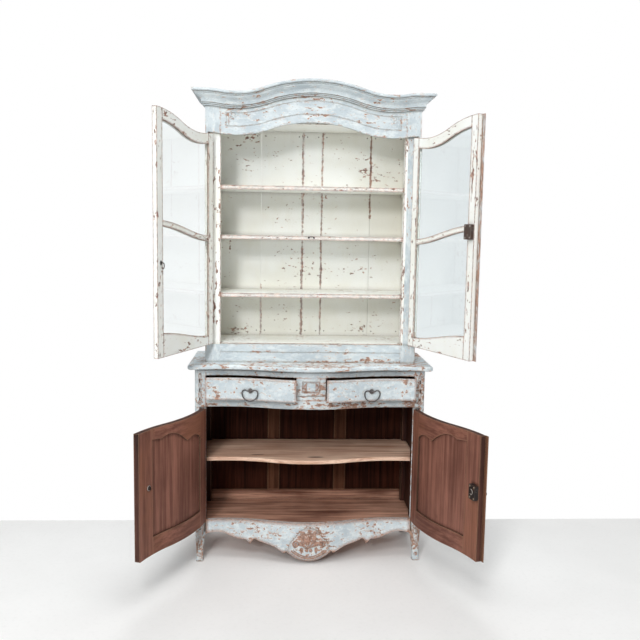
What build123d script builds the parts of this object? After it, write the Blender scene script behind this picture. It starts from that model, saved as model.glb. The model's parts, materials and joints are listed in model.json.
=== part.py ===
import os
from math import asin, cos, radians, sin, sqrt
from build123d import *

os.makedirs("parts", exist_ok=True)

# China cabinet: a glazed hutch on a base with a bowed front, in mm
# X runs to the right, Y to the back, Z up; the floor is Z = 0

# Overall sizes
BACK_Y = 434.0
HUTCH_DEPTH = 322.0
HUTCH_HALF = 484.5
BASE_HALF = 527.0
COUNTER_SIDE = 29.0
LEG_FACE = 49.0
FRONT_Y = BACK_Y - HUTCH_DEPTH
COUNTER_HALF = BASE_HALF + COUNTER_SIDE
LEG_INNER = BASE_HALF - LEG_FACE

# Bow of the base front in plan: a crest between two troughs
BOW_END = 88.0
BOW_TROUGH_X = LEG_INNER - BOW_END
BOW_RISE = 60.0
BOW_AHEAD = 52.0
BOW_RADIUS = (BOW_TROUGH_X**2 + BOW_RISE**2) / (4 * BOW_RISE)
BOW_TROUGH_Y = FRONT_Y - BOW_AHEAD
BOW_CREST_Y = BOW_TROUGH_Y - BOW_RISE

# Arch of the hutch front: crest, dips and level ends
ARCH_CREST_R = 600.0
ARCH_DIP_IN = 134.5
ARCH_TURN_IN = 64.5
ARCH_RISE = 61.0
ARCH_DIP_X = HUTCH_HALF - ARCH_DIP_IN
ARCH_TURN_X = HUTCH_HALF - ARCH_TURN_IN
ARCH_DIP_R = (ARCH_DIP_X**2 + ARCH_RISE**2) / (2 * ARCH_RISE) - ARCH_CREST_R
ARCH_BEND_X = ARCH_DIP_X * ARCH_CREST_R / (ARCH_CREST_R + ARCH_DIP_R)
ARCH_END_R = ARCH_TURN_IN * ARCH_DIP_R / (ARCH_TURN_X - ARCH_DIP_X)
ARCH_END_LIFT = (ARCH_DIP_R + ARCH_END_R) * (1 - cos(asin((ARCH_TURN_X - ARCH_DIP_X) / ARCH_DIP_R)))

# Heights
FLOOR_TOP = 165.0
APRON_TOP = 194.0
SHELF_TOP = 480.0
RAIL_BOTTOM = 729.0
LOW_RAIL_H = 43.0
DRAWER_H = 103.0
TOP_RAIL_H = 30.0
COUNTER_T = 21.0
PLINTH_H = 82.0
SILL_STEP = 4.0
DOORWAY_H = 945.0
CEILING_LIFT = 55.0
HUTCH_SHELF_LIFTS = (231.0, 496.0, 721.0)
DRAWER_BOTTOM = RAIL_BOTTOM + LOW_RAIL_H
DRAWER_TOP = DRAWER_BOTTOM + DRAWER_H
COUNTER_BOTTOM = DRAWER_TOP + TOP_RAIL_H
COUNTER_TOP = COUNTER_BOTTOM + COUNTER_T
HUTCH_SILL = COUNTER_TOP + PLINTH_H
HUTCH_FLOOR_TOP = HUTCH_SILL + SILL_STEP
HUTCH_SHELF_TOPS = tuple(HUTCH_FLOOR_TOP + lift for lift in HUTCH_SHELF_LIFTS)
ARCH_DIP_Z = HUTCH_SILL + DOORWAY_H
CEILING_Z = ARCH_DIP_Z + CEILING_LIFT
CORNICE_LIFT = 114.0
FRAME_LIFT = 165.0

# Boards
BOARD = 18.0
SIDE_T = 20.0
PLANK_T = 12.0
RAIL_T = 25.0
CLEAT = 18.0
SUNK = 4.0
SIDE_STILE = 50.0
SIDE_RAIL = 40.0
SIDE_DROP = 64.0
LAP = 1.0
CUT_AHEAD = 130.0
PLANK_JOINTS = (-240.0, -38.0, 56.0, 294.0)
PLANK_GAP = 1.2

# Hutch frame
POST_FACE = 67.0
POST_DEPTH = 60.0
UPPER_DOOR_T = 20.0
REBATE_ROOM = 1.2
CORNICE_OUT = 56.0
CORNICE_H = 67.0
INCISED = 4.0
INCISED_DEPTH = 1.5
INCISED_LOW = 34.0
INCISED_HIGH = 96.0
INCISED_IN = 24.0
PLINTH_LINE = 36.0
SHELF_SET = 6.0
UPPER_HINGE_IN = 12.7

# Base frame
LEG_DEPTH = 62.0
LEG_ROUND = 18.0
LEG_REVEAL = 24.0
GROOVE_R = 5.0
GROOVE_END = 26.0
REAR_LEG = 45.0
REAR_TOE = 6.0
FOOT_TOP = 190.0
RAIL_NOSE = 4.0
BLOCK_T = 40.0
FIELD_IN = 26.0
FIELD_FOOT = 34.0
FIELD_HEAD = 16.0
FIELD_SUNK = 3.0
FIELD_EDGE = 8.0
BLOCK_LINE = 18.0
PARTITION_HALF = 9.0
COUNTER_LAP = 28.0
COUNTER_ROUND = 8.0
CARVED_OUT = 7.0

# Doors
DOOR_GAP = 3.0
UPPER_FOOT_GAP = 6.0
UPPER_TOP_GAP = 9.0
MEETING_GAP = 10.0
LOWER_DOOR_T = 24.0
UPPER_STILE = 42.0
UPPER_TOP_RAIL = 46.0
FOOT_RAIL_FREE = 98.0
FOOT_RAIL_HINGE = 42.0
MUNTIN_H = 24.0
MUNTIN_LIFT = 483.0
MUNTIN_SLOPE = 63.0
S_CURVE_ENDS = ((1, -0.06), (1, -0.06))
GLASS_T = 3.0
GLASS_HOLD = 7.0
GLASS_ROOM = 0.4
GLASS_BACK = 5.0
LOWER_STILE = 92.0
LOWER_HINGE_STILE = 73.0
LOWER_TOP_RAIL = 44.0
LOWER_FOOT_RAIL = 74.0
OGEE_KNEE = 8.0
OGEE_CREST = 1.0
OGEE_FALL = 18.0
OGEE_DROP = 54.0
OGEE_FLICK = 9.0
OGEE_CORNER = 68.0
OGEE_SHARES = (0.18, 0.36, 0.5, 0.65, 0.87)
PANEL_T = 9.0
PANEL_SET = 8.0
PANEL_HOLD = 7.0
PANEL_FIELD = 34.0
PANEL_RAISE = 6.0
BEAD_HALF = 10.0
BEAD_OUT = 5.0
BEAD_ROOM = 0.6
STUD_X = 73.0
STUD_R = 8.0
STUD_OUT = 6.0
UPPER_OPEN = 113.0
LOWER_LEFT_OPEN = 110.5
LOWER_RIGHT_OPEN = 107.0

# Pin hinges
HINGE_OUT = 7.0
HINGE_SIDE = 1.8
BARREL_R = 5.0
PIN_R = 2.8
PIN_ROOM = 0.05
BARREL_H = 52.0
BARREL_GAP = 0.6
PIN_LENGTH = 40.0
LEAF_T = 1.2
LEAF_IN = 3.5
LEAF_DEPTH = 16.0
LEAF_END = 4.0
BUTTON_IN = 1.5
BUTTON_H = 5.0
PIN_SPARE = 2.0
UPPER_HINGE_LIFTS = (112.0, 842.0)
UPPER_HINGE_Z = tuple(HUTCH_SILL + lift for lift in UPPER_HINGE_LIFTS)
LOWER_HINGE_Z = (300.0, 640.0)

# Drawers
DIVIDER_HALF = 66.0
DRAWER_ROOM = 2.0
DRAWER_LIFT = 2.5
DRAWER_FRONT_T = 22.0
DRAWER_SIDE_T = 12.0
DRAWER_SIDE_H = 82.0
DRAWER_SIDE_IN = 10.0
DRAWER_REST = 65.0
SLIDE_ROOM = 0.5
GUIDE_T = 8.0
GUIDE_H = 30.0
BOTTOM_T = 8.0
BOTTOM_LIFT = 4.0
BOX_SHORT = 12.0
RUNNER_SPARE = 4.0
DRAWER_BEVEL = 3.0

# Ring pulls
PULL_X = (DIVIDER_HALF + LEG_INNER) / 2
PULL_DROP = 4.5
PULL_Z = (DRAWER_BOTTOM + DRAWER_TOP) / 2 - PULL_DROP
PULL_STAND = 12.0
RING_WIRE_R = 2.7
RING_HALF = 36.0
RING_PIVOT = 6.0
RING_DIP_R = 10.0
RING_DIP = 40.0
EYE_R = 6.5
EYE_HALF = 4.0
STEM_R = 4.5
ROSE_R = 11.0
ROSE_T = 2.0

# Locks and keys
LOCK_W = 46.0
LOCK_H = 62.0
LOCK_T = 15.0
LOCK_WALL = 3.0
LOCK_IN = 2.0
LOCK_ROUND = 5.0
UPPER_LOCK_LIFT = 532.0
UPPER_LOCK_Z = HUTCH_SILL + UPPER_LOCK_LIFT
LOWER_LOCK_Z = 486.0
BOLT_H = 12.0
BOLT_T = 7.0
BOLT_LIFT = 12.0
BOLT_ROOM = 0.5
BOLT_THROW = 22.0
BOLT_HELD = 12.0
BOLT_W = BOLT_THROW + BOLT_HELD
BOLT_IN = 1.0
BOLT_NOSE = 1.5
BOLT_SPARE = 3.0
KEY_X = 28.0
KEY_DROP = 13.0
KEY_R = 3.0
KEY_ROOM = 0.35
KEY_OUT = 12.0
KEY_BIT = 8.0
KEY_BIT_T = 3.0
KEY_BIT_ROOM = 2.0
BOW_RING_R = 10.0
BOW_RING_T = 4.0
BOW_RING_LAP = 2.0
SCUTCHEON_W = 24.0
SCUTCHEON_H = 54.0
SCUTCHEON_T = 1.5

# Derived positions
POST_INNER = HUTCH_HALF - POST_FACE
UPPER_AXIS_X = HUTCH_HALF - UPPER_HINGE_IN
LOWER_AXIS_X = BASE_HALF - LEG_REVEAL
MEETING_X = MEETING_GAP / 2
UPPER_DOOR_BOTTOM = HUTCH_SILL + UPPER_FOOT_GAP
LOWER_DOOR_BOTTOM = APRON_TOP + DOOR_GAP
LOWER_DOOR_TOP = RAIL_BOTTOM - DOOR_GAP
UPPER_EDGE_X = UPPER_AXIS_X - HINGE_SIDE
LOWER_EDGE_X = LOWER_AXIS_X - HINGE_SIDE
REBATE_Y = FRONT_Y + UPPER_DOOR_T + REBATE_ROOM
REACH = 2 * BASE_HALF
SIDE_INNER = HUTCH_HALF - SIDE_T
BASE_INNER = BASE_HALF - SIDE_T - SUNK
PLANK_Y = BACK_Y - PLANK_T
FRAME_Y = BACK_Y - SIDE_T
FACE = Plane.XZ.offset(-FRONT_Y)
AHEAD = Plane.XZ.offset(REACH)


def bow_y(x, out=0.0):
    # Depth of the bowed front at x, on its parallel moved out by the given distance
    x = abs(x)
    if x < BOW_TROUGH_X * (BOW_RADIUS + out) / (2 * BOW_RADIUS):
        return BOW_CREST_Y + BOW_RADIUS - sqrt((BOW_RADIUS + out) ** 2 - x**2)
    return BOW_TROUGH_Y - BOW_RADIUS + sqrt((BOW_RADIUS - out) ** 2 - (x - BOW_TROUGH_X) ** 2)


def bow_arcs(out, x_from, x_to):
    # Arcs of the bowed front, drawn in the open line
    bend = BOW_TROUGH_X * (BOW_RADIUS + out) / (2 * BOW_RADIUS)
    stops = [x_from] + [x for x in (-bend, bend) if x_from < x < x_to] + [x_to]
    for a, b in zip(stops, stops[1:]):
        mid = (a + b) / 2
        ThreePointArc((a, bow_y(a, out)), (mid, bow_y(mid, out)), (b, bow_y(b, out)))


def bowed_board(out, back, x_from, x_to, z_from, z_to, mode=Mode.ADD):
    # Board of even thickness along the bowed front, put into the open part
    with BuildSketch(Plane.XY.offset(z_from)) as plan:
        with BuildLine():
            bow_arcs(out, x_from, x_to)
            bow_arcs(back, x_from, x_to)
            for x in (x_from, x_to):
                Line((x, bow_y(x, out)), (x, bow_y(x, back)))
        make_face()
    extrude(plan.sketch, amount=z_to - z_from, mode=mode)


def arch_z(x, up=0.0):
    # Height of the arched edge at x, moved up by the given distance
    x = abs(x)
    if x < ARCH_BEND_X:
        z = ARCH_RISE - ARCH_CREST_R + sqrt(ARCH_CREST_R**2 - x**2)
    elif x < ARCH_TURN_X:
        z = ARCH_DIP_R - sqrt(ARCH_DIP_R**2 - (x - ARCH_DIP_X) ** 2)
    elif x < HUTCH_HALF:
        z = ARCH_END_LIFT - ARCH_END_R + sqrt(ARCH_END_R**2 - (HUTCH_HALF - x) ** 2)
    else:
        z = ARCH_END_LIFT
    return ARCH_DIP_Z + z + up


def arch_arcs(up, x_from, x_to):
    # Arcs of the arched edge, drawn in the open line
    bends = (-HUTCH_HALF, -ARCH_TURN_X, -ARCH_BEND_X, ARCH_BEND_X, ARCH_TURN_X, HUTCH_HALF)
    stops = [x_from] + [x for x in bends if x_from < x < x_to] + [x_to]
    for a, b in zip(stops, stops[1:]):
        mid = (a + b) / 2
        if abs(mid) > HUTCH_HALF:
            Line((a, arch_z(a, up)), (b, arch_z(b, up)))
        else:
            ThreePointArc((a, arch_z(a, up)), (mid, arch_z(mid, up)), (b, arch_z(b, up)))


def arch_face(up, x_from, x_to, z_from):
    # Outline from a level lower edge up to the arched edge, drawn in the open line
    arch_arcs(up, x_from, x_to)
    Polyline((x_from, arch_z(x_from, up)), (x_from, z_from), (x_to, z_from), (x_to, arch_z(x_to, up)))


def arch_band(low, high, x_from, x_to):
    # Outline between two arched edges, drawn in the open line
    arch_arcs(low, x_from, x_to)
    arch_arcs(high, x_from, x_to)
    for x in (x_from, x_to):
        Line((x, arch_z(x, low)), (x, arch_z(x, high)))


def block(x_from, x_to, y_from, y_to, z_from, z_to, mode=Mode.ADD):
    # Square-edged piece between the given limits, put into the open part
    with BuildSketch(Plane.XY.offset(z_from)) as plan:
        with Locations(((x_from + x_to) / 2, (y_from + y_to) / 2)):
            Rectangle(x_to - x_from, y_to - y_from)
    extrude(plan.sketch, amount=z_to - z_from, mode=mode)


def save(part, name):
    part.label = name
    export_step(part, f"parts/{name}.step")


def save_group(parts, name):
    # Several pieces that stay separate solids under one name
    save(Compound(children=[solid for part in parts for solid in part.solids()]), name)


def save_pair(part, name):
    # Right-hand piece as it stands and its mirror image on the left
    save(part, name.format("right"))
    save(mirror(part, about=Plane.YZ), name.format("left"))


UPPER_AXIS = Axis((UPPER_AXIS_X, FRONT_Y - HINGE_OUT, 0), (0, 0, 1))
LOWER_AXIS = Axis((LOWER_AXIS_X, bow_y(LOWER_AXIS_X) - HINGE_OUT, 0), (0, 0, 1))


def save_hung(part, axis, name, sides=("right", "left")):
    # Closed right-hand door piece turned to the open position on either side
    for side in sides:
        lower = LOWER_RIGHT_OPEN if side == "right" else LOWER_LEFT_OPEN
        piece = part.rotate(axis, UPPER_OPEN if axis is UPPER_AXIS else lower)
        save(piece if side == "right" else mirror(piece, about=Plane.YZ), name.format(side))


# Counter
with BuildPart() as counter:
    with BuildSketch(Plane.XY.offset(COUNTER_BOTTOM)):
        with BuildLine():
            bow_arcs(COUNTER_LAP, -COUNTER_HALF, COUNTER_HALF)
            Polyline(
                (-COUNTER_HALF, bow_y(COUNTER_HALF, COUNTER_LAP)),
                (-COUNTER_HALF, BACK_Y),
                (COUNTER_HALF, BACK_Y),
                (COUNTER_HALF, bow_y(COUNTER_HALF, COUNTER_LAP)),
            )
        make_face()
    extrude(amount=COUNTER_TOP - COUNTER_BOTTOM)
    upright = counter.edges().filter_by(Axis.Z)
    ends = [e for e in upright if abs(e.center().X) > COUNTER_HALF - LAP]
    fillet([e for e in ends if e.center().Y < FRONT_Y], radius=LEG_ROUND)
    shown = [e for e in counter.edges().group_by(Axis.Z)[-1] if e.center().Y < BACK_Y - LAP]
    fillet(shown, radius=COUNTER_ROUND)
    under = [e for e in counter.edges().group_by(Axis.Z)[0] if e.center().Y < BACK_Y - LAP]
    chamfer(under, length=COUNTER_ROUND / 2)
save(counter.part, "counter_top")

# Front legs: rounded corner posts, rebated for the doors, on short bent feet
LEG_FRONT = bow_y(LEG_INNER)
LEG_BACK = LEG_FRONT + LEG_DEPTH
LEG_MID_X = (LEG_INNER + BASE_HALF) / 2
# Sections of the foot: height, shift outwards, shift ahead, width, depth, corner radius
FOOT_STATIONS = (
    (FOOT_TOP, 0.0, 0.0, 47.0, 58.0, 12.0),
    (155.0, 1.0, 4.0, 47.0, 58.0, 16.0),
    (108.0, 2.0, 12.0, 42.0, 44.0, 14.0),
    (58.0, 2.5, 21.0, 33.0, 33.0, 11.0),
    (24.0, 2.5, 27.0, 31.0, 31.0, 9.0),
    (0.0, 2.5, 31.0, 33.0, 33.0, 8.0),
)
with BuildPart() as leg_posts:
    bowed_board(0, -2 * LEG_DEPTH, LEG_INNER, BASE_HALF, FOOT_TOP, COUNTER_BOTTOM)
    block(LEG_INNER, BASE_HALF, LEG_BACK, BACK_Y, 0, COUNTER_BOTTOM, mode=Mode.SUBTRACT)
    fillet(leg_posts.edges().filter_by(Axis.Z).group_by(Axis.X)[-1].sort_by(Axis.Y)[0], radius=LEG_ROUND)
    with BuildSketch(Plane.XY.offset(RAIL_BOTTOM + GROOVE_END)) as groove:
        with Locations((LEG_MID_X, bow_y(LEG_MID_X))):
            Circle(GROOVE_R)
    extrude(groove.sketch, amount=COUNTER_BOTTOM - RAIL_BOTTOM - 2 * GROOVE_END, mode=Mode.SUBTRACT)
    bowed_board(
        CUT_AHEAD,
        -LOWER_DOOR_T - REBATE_ROOM,
        LEG_INNER - LAP,
        LOWER_AXIS_X + HINGE_SIDE,
        APRON_TOP,
        RAIL_BOTTOM,
        mode=Mode.SUBTRACT,
    )
    mirror(about=Plane.YZ)
with BuildPart() as feet:
    for z, right, ahead, width, depth, corner in FOOT_STATIONS:
        with BuildSketch(Plane.XY.offset(z)):
            with Locations((LEG_MID_X + right, LEG_FRONT + LEG_DEPTH / 2 - ahead)):
                RectangleRounded(width, depth, corner)
    loft()
    mirror(about=Plane.YZ)
save_group((leg_posts, feet), "front_legs")

# Rear legs
with BuildPart() as rear_legs:
    block(BASE_HALF - REAR_LEG, BASE_HALF, BACK_Y - REAR_LEG, BACK_Y, 0, COUNTER_BOTTOM)
    chamfer(rear_legs.edges().group_by(Axis.Z)[0], length=REAR_TOE)
    mirror(about=Plane.YZ)
save(rear_legs.part, "rear_legs")

# Base sides: boards with a sunk panel
with BuildPart() as base_sides:
    block(BASE_INNER, BASE_INNER + SIDE_T, LEG_BACK, BACK_Y - REAR_LEG, APRON_TOP - SIDE_DROP, COUNTER_BOTTOM)
    block(
        BASE_INNER + SIDE_T - SUNK,
        BASE_INNER + SIDE_T,
        LEG_BACK + SIDE_STILE,
        BACK_Y - REAR_LEG - SIDE_STILE,
        APRON_TOP + SIDE_RAIL,
        COUNTER_BOTTOM - SIDE_RAIL,
        mode=Mode.SUBTRACT,
    )
    mirror(about=Plane.YZ)
save(base_sides.part, "base_sides")

# Base back: two rails, two muntins and three thinner panels
BACK_MUNTIN_X = 168.0
BACK_MUNTIN_HALF = 29.0
BACK_RAIL_H = 62.0
BACK_DROP = 40.0
BACK_LOW = APRON_TOP - BACK_DROP
BACK_EDGE = BASE_HALF - REAR_LEG
back_span = (BACK_LOW + BACK_RAIL_H, COUNTER_BOTTOM - BACK_RAIL_H)
with BuildPart() as base_back_rails:
    block(-BACK_EDGE, BACK_EDGE, FRAME_Y, BACK_Y, BACK_LOW, back_span[0])
    block(-BACK_EDGE, BACK_EDGE, FRAME_Y, BACK_Y, back_span[1], COUNTER_BOTTOM)
with BuildPart() as base_back_muntins:
    for x in (-BACK_MUNTIN_X, BACK_MUNTIN_X):
        block(x - BACK_MUNTIN_HALF, x + BACK_MUNTIN_HALF, FRAME_Y, BACK_Y, *back_span)
save_group((base_back_rails, base_back_muntins), "base_back_frame")
PANEL_EDGES = (-BACK_EDGE, -BACK_MUNTIN_X, BACK_MUNTIN_X, BACK_EDGE)
with BuildPart() as base_back_panels:
    for a, b in zip(PANEL_EDGES, PANEL_EDGES[1:]):
        x_from = a + (0 if a == -BACK_EDGE else BACK_MUNTIN_HALF)
        x_to = b - (0 if b == BACK_EDGE else BACK_MUNTIN_HALF)
        block(x_from, x_to, FRAME_Y + PANEL_SET, FRAME_Y + PANEL_SET + PANEL_T, *back_span)
save(base_back_panels.part, "base_back_panels")

# Rails round the drawers
with BuildPart() as top_rail:
    bowed_board(0, -RAIL_T, -LEG_INNER, LEG_INNER, DRAWER_TOP, COUNTER_BOTTOM)
save(top_rail.part, "drawer_top_rail")
with BuildPart() as low_rail:
    bowed_board(0, -RAIL_T, -LEG_INNER, LEG_INNER, RAIL_BOTTOM, DRAWER_BOTTOM)
    lowest = low_rail.edges().group_by(Axis.Z)[0]
    nose = [e for e in lowest if e.center().Y < bow_y(e.center().X, -RAIL_T / 2)]
    chamfer([e for e in nose if e.length > RAIL_T + LAP], length=RAIL_NOSE)
save(low_rail.part, "drawer_bottom_rail")

# Block between the drawers with a sunk carved field and a partition behind it
with BuildPart() as divider:
    bowed_board(0, -BLOCK_T, -DIVIDER_HALF, DIVIDER_HALF, DRAWER_BOTTOM, DRAWER_TOP)
    field_half = DIVIDER_HALF - FIELD_IN
    field_low, field_top = DRAWER_BOTTOM + FIELD_FOOT, DRAWER_TOP - FIELD_HEAD
    bowed_board(0, -FIELD_SUNK, -field_half, field_half, field_low, field_top, mode=Mode.SUBTRACT)
    bowed_board(
        -FIELD_SUNK / 3,
        -FIELD_SUNK - LAP,
        FIELD_EDGE - field_half,
        field_half - FIELD_EDGE,
        field_low + FIELD_EDGE,
        field_top - FIELD_EDGE,
    )
    line_z = DRAWER_BOTTOM + BLOCK_LINE
    bowed_board(0, -FIELD_SUNK, -DIVIDER_HALF, DIVIDER_HALF, line_z, line_z + INCISED, mode=Mode.SUBTRACT)
    block(-PARTITION_HALF, PARTITION_HALF, bow_y(0, -BLOCK_T) - LAP, FRAME_Y, DRAWER_BOTTOM, DRAWER_TOP)
save(divider.part, "drawer_divider")

# Drawer runners with side guides
RUN_INNER = DIVIDER_HALF + DRAWER_ROOM
RUN_OUTER = LEG_INNER
with BuildPart() as runners:
    for x_wall, way in ((RUN_INNER, 1), (RUN_OUTER, -1)):
        x_shelf = sorted((x_wall, x_wall + way * (DRAWER_SIDE_IN + DRAWER_SIDE_T + RUNNER_SPARE)))
        x_guide = sorted((x_wall, x_wall + way * GUIDE_T))
        block(*x_shelf, BOW_CREST_Y, FRAME_Y, DRAWER_BOTTOM - CLEAT, DRAWER_BOTTOM)
        block(*x_guide, BOW_CREST_Y, FRAME_Y, DRAWER_BOTTOM, DRAWER_BOTTOM + GUIDE_H)
    for thick, z_from, z_to in ((RAIL_T, RAIL_BOTTOM, DRAWER_BOTTOM), (BLOCK_T, DRAWER_BOTTOM, DRAWER_TOP)):
        bowed_board(CUT_AHEAD, -thick, RUN_INNER - LAP, RUN_OUTER + LAP, z_from, z_to, mode=Mode.SUBTRACT)
    mirror(about=Plane.YZ)
save(runners.part, "drawer_runners")


def base_board(front, top):
    # Level board inside the base, notched round the four legs, put into the open part
    with BuildSketch(Plane.XY.offset(top - BOARD)) as plan:
        with BuildLine():
            bow_arcs(front, -BASE_INNER, BASE_INNER)
            Polyline(
                (-BASE_INNER, bow_y(BASE_INNER, front)),
                (-BASE_INNER, FRAME_Y),
                (BASE_INNER, FRAME_Y),
                (BASE_INNER, bow_y(BASE_INNER, front)),
            )
        make_face()
        for side in (-1, 1):
            with Locations((side * BASE_HALF, LEG_FRONT)):
                Rectangle(2 * LEG_FACE + LAP, 2 * LEG_DEPTH + LAP, mode=Mode.SUBTRACT)
            with Locations((side * BASE_HALF, BACK_Y)):
                Rectangle(2 * REAR_LEG + LAP, 2 * REAR_LEG + LAP, mode=Mode.SUBTRACT)
    extrude(plan.sketch, amount=BOARD)


with BuildPart() as base_shelf:
    base_board(-LOWER_DOOR_T - LOCK_T - SHELF_SET, SHELF_TOP)
save(base_shelf.part, "base_shelf")
with BuildPart() as base_floor:
    base_board(-LOWER_DOOR_T, FLOOR_TOP)
save(base_floor.part, "base_floor")

# Apron: scalloped lower edge with two darts and a carved lobe in the middle
DART_X = 273.0
DART_HALF = 21.0
DART_TIP_Z = 81.0
DART_OUTER_Z = 102.0
DART_INNER_Z = 108.0
NOTCH = (114.0, 50.0)
LOBE_X = 105.0
LOBE_FOOT_Z = 61.0
LOBE_LIFT = 6.0
LOBE_SHARE = 0.9
LOBE_DROP = 22.0
LOBE_TOP = APRON_TOP - LOBE_DROP
LOBE_SHOULDER = (62.0, 128.0)
OUTER_SPAN = LEG_INNER - DART_X - DART_HALF
OUTER_CURVE = ((0, 128.0), (0.18, 135.0), (0.375, 135.0), (0.625, 117.0), (0.875, 101.0), (1, DART_OUTER_Z))
INNER_CURVE = ((224.0, 95.0), (178.0, 83.0), (146.0, 68.0))
LOBE_CURVE = ((86.0, 45.0), (58.0, 28.0), (26.0, 18.0), (0.0, 16.0))
DART_TIP = (DART_X, DART_TIP_Z)
DART_INNER = (DART_X - DART_HALF, DART_INNER_Z)
LOBE_FOOT = (LOBE_X, LOBE_FOOT_Z)
SCALLOPS = (
    [(LEG_INNER - OUTER_SPAN * t, z) for t, z in OUTER_CURVE],
    [(DART_X + DART_HALF, DART_OUTER_Z), DART_TIP],
    [DART_TIP, DART_INNER],
    [DART_INNER, *INNER_CURVE, NOTCH],
    [NOTCH, LOBE_FOOT],
    [LOBE_FOOT, *LOBE_CURVE],
)
with BuildPart() as apron:
    bowed_board(0, -LOWER_DOOR_T, -LEG_INNER, LEG_INNER, 0, APRON_TOP)
    with BuildSketch(AHEAD):
        with BuildLine():
            for run in SCALLOPS:
                if len(run) == 2:
                    Line(*run)
                else:
                    Spline(*run)
            Polyline(SCALLOPS[0][0], (LEG_INNER, APRON_TOP), (0, APRON_TOP), SCALLOPS[-1][-1])
        make_face()
        mirror(about=Plane.YZ)
    extrude(amount=-2 * REACH, mode=Mode.INTERSECT)
with BuildPart() as lobe:
    bowed_board(CARVED_OUT, 0, -LOBE_X, LOBE_X, 0, APRON_TOP)
    rim = [(x * LOBE_SHARE, z + LOBE_LIFT) for x, z in SCALLOPS[-1]]
    with BuildSketch(AHEAD):
        with BuildLine():
            Spline(*rim, tangents=((0, -1), (-1, 0)))
            Spline(rim[0], LOBE_SHOULDER, (0, LOBE_TOP), tangents=((0, 1), (-1, 0)))
            Line((0, LOBE_TOP), rim[-1])
        make_face()
        mirror(about=Plane.YZ)
    extrude(amount=-2 * REACH, mode=Mode.INTERSECT)
    chamfer(lobe.faces().sort_by(Axis.Y)[0].edges(), length=CARVED_OUT / 2)
with BuildPart() as carved_apron:
    add(apron.part)
    add(lobe.part)
save(carved_apron.part, "apron")

# Hutch posts, rebated for the doors
with BuildPart() as posts:
    block(POST_INNER, HUTCH_HALF, FRONT_Y, FRONT_Y + POST_DEPTH, COUNTER_TOP, arch_z(HUTCH_HALF, FRAME_LIFT))
    with BuildSketch(FACE) as rebate:
        with BuildLine():
            arch_face(0, 0, UPPER_AXIS_X + HINGE_SIDE, HUTCH_SILL)
        make_face()
    extrude(rebate.sketch, amount=FRONT_Y - REBATE_Y, mode=Mode.SUBTRACT)
    mirror(about=Plane.YZ)
save(posts.part, "hutch_posts")

# Hutch sides with a sunk outer panel
with BuildPart() as hutch_sides:
    side_top = arch_z(HUTCH_HALF, FRAME_LIFT)
    block(SIDE_INNER, HUTCH_HALF, FRONT_Y + POST_DEPTH, PLANK_Y, COUNTER_TOP, side_top)
    block(
        HUTCH_HALF - SUNK,
        HUTCH_HALF,
        FRONT_Y + POST_DEPTH + SIDE_STILE,
        PLANK_Y - SIDE_STILE,
        HUTCH_SILL + SIDE_RAIL,
        CEILING_Z - SIDE_RAIL,
        mode=Mode.SUBTRACT,
    )
    mirror(about=Plane.YZ)
save(hutch_sides.part, "hutch_sides")

# Back planks of uneven width
with BuildPart() as planks:
    edges = (-HUTCH_HALF,) + PLANK_JOINTS + (HUTCH_HALF,)
    for a, b in zip(edges, edges[1:]):
        block(a + PLANK_GAP / 2, b - PLANK_GAP / 2, PLANK_Y, BACK_Y, COUNTER_TOP, CEILING_Z + 3 * BOARD)
save(planks.part, "hutch_back_planks")


def hutch_board(z_from, z_to, front):
    # Level board inside the hutch, notched round the posts, put into the open part
    block(-POST_INNER, POST_INNER, front, PLANK_Y, z_from, z_to)
    block(-SIDE_INNER, SIDE_INNER, FRONT_Y + POST_DEPTH, PLANK_Y, z_from, z_to)


with BuildPart() as hutch_shelves:
    for top in HUTCH_SHELF_TOPS:
        hutch_board(top - BOARD, top, REBATE_Y + SHELF_SET)
save(hutch_shelves.part, "hutch_shelves")
with BuildPart() as hutch_floor:
    hutch_board(HUTCH_FLOOR_TOP - BOARD, HUTCH_FLOOR_TOP, FRONT_Y + RAIL_T)
save(hutch_floor.part, "hutch_floor")
with BuildPart() as ceiling:
    hutch_board(CEILING_Z, CEILING_Z + BOARD, REBATE_Y)
save(ceiling.part, "hutch_ceiling")

# Plinth rail under the upper doors
with BuildPart() as plinth:
    block(-POST_INNER, POST_INNER, FRONT_Y, FRONT_Y + RAIL_T, COUNTER_TOP, HUTCH_SILL)
    line_z = (HUTCH_SILL - PLINTH_LINE, HUTCH_SILL - PLINTH_LINE + INCISED)
    block(-POST_INNER, POST_INNER, FRONT_Y, FRONT_Y + INCISED_DEPTH, *line_z, mode=Mode.SUBTRACT)
save(plinth.part, "hutch_plinth_rail")

# Cleats under the shelves and floors
with BuildPart() as cleats:
    for top in HUTCH_SHELF_TOPS + (HUTCH_FLOOR_TOP,):
        block(SIDE_INNER - CLEAT, SIDE_INNER, FRONT_Y + POST_DEPTH, PLANK_Y, top - BOARD - CLEAT, top - BOARD)
    for top in (SHELF_TOP, FLOOR_TOP):
        block(BASE_INNER - CLEAT, BASE_INNER, LEG_BACK, BACK_Y - REAR_LEG, top - BOARD - CLEAT, top - BOARD)
    mirror(about=Plane.YZ)
save(cleats.part, "shelf_cleats")

# Frieze board with an incised panel
with BuildPart() as frieze:
    with BuildSketch(FACE):
        with BuildLine():
            arch_band(0, FRAME_LIFT, -POST_INNER, POST_INNER)
        make_face()
    extrude(amount=-UPPER_DOOR_T)
    with BuildSketch(FACE):
        with BuildLine():
            arch_band(INCISED_LOW, INCISED_HIGH, INCISED_IN - POST_INNER, POST_INNER - INCISED_IN)
        make_face()
        inner_x = POST_INNER - INCISED_IN - INCISED
        with BuildLine():
            arch_band(INCISED_LOW + INCISED, INCISED_HIGH - INCISED, -inner_x, inner_x)
        make_face(mode=Mode.SUBTRACT)
    extrude(amount=-INCISED_DEPTH, mode=Mode.SUBTRACT)
save(frieze.part, "frieze_board")


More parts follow.
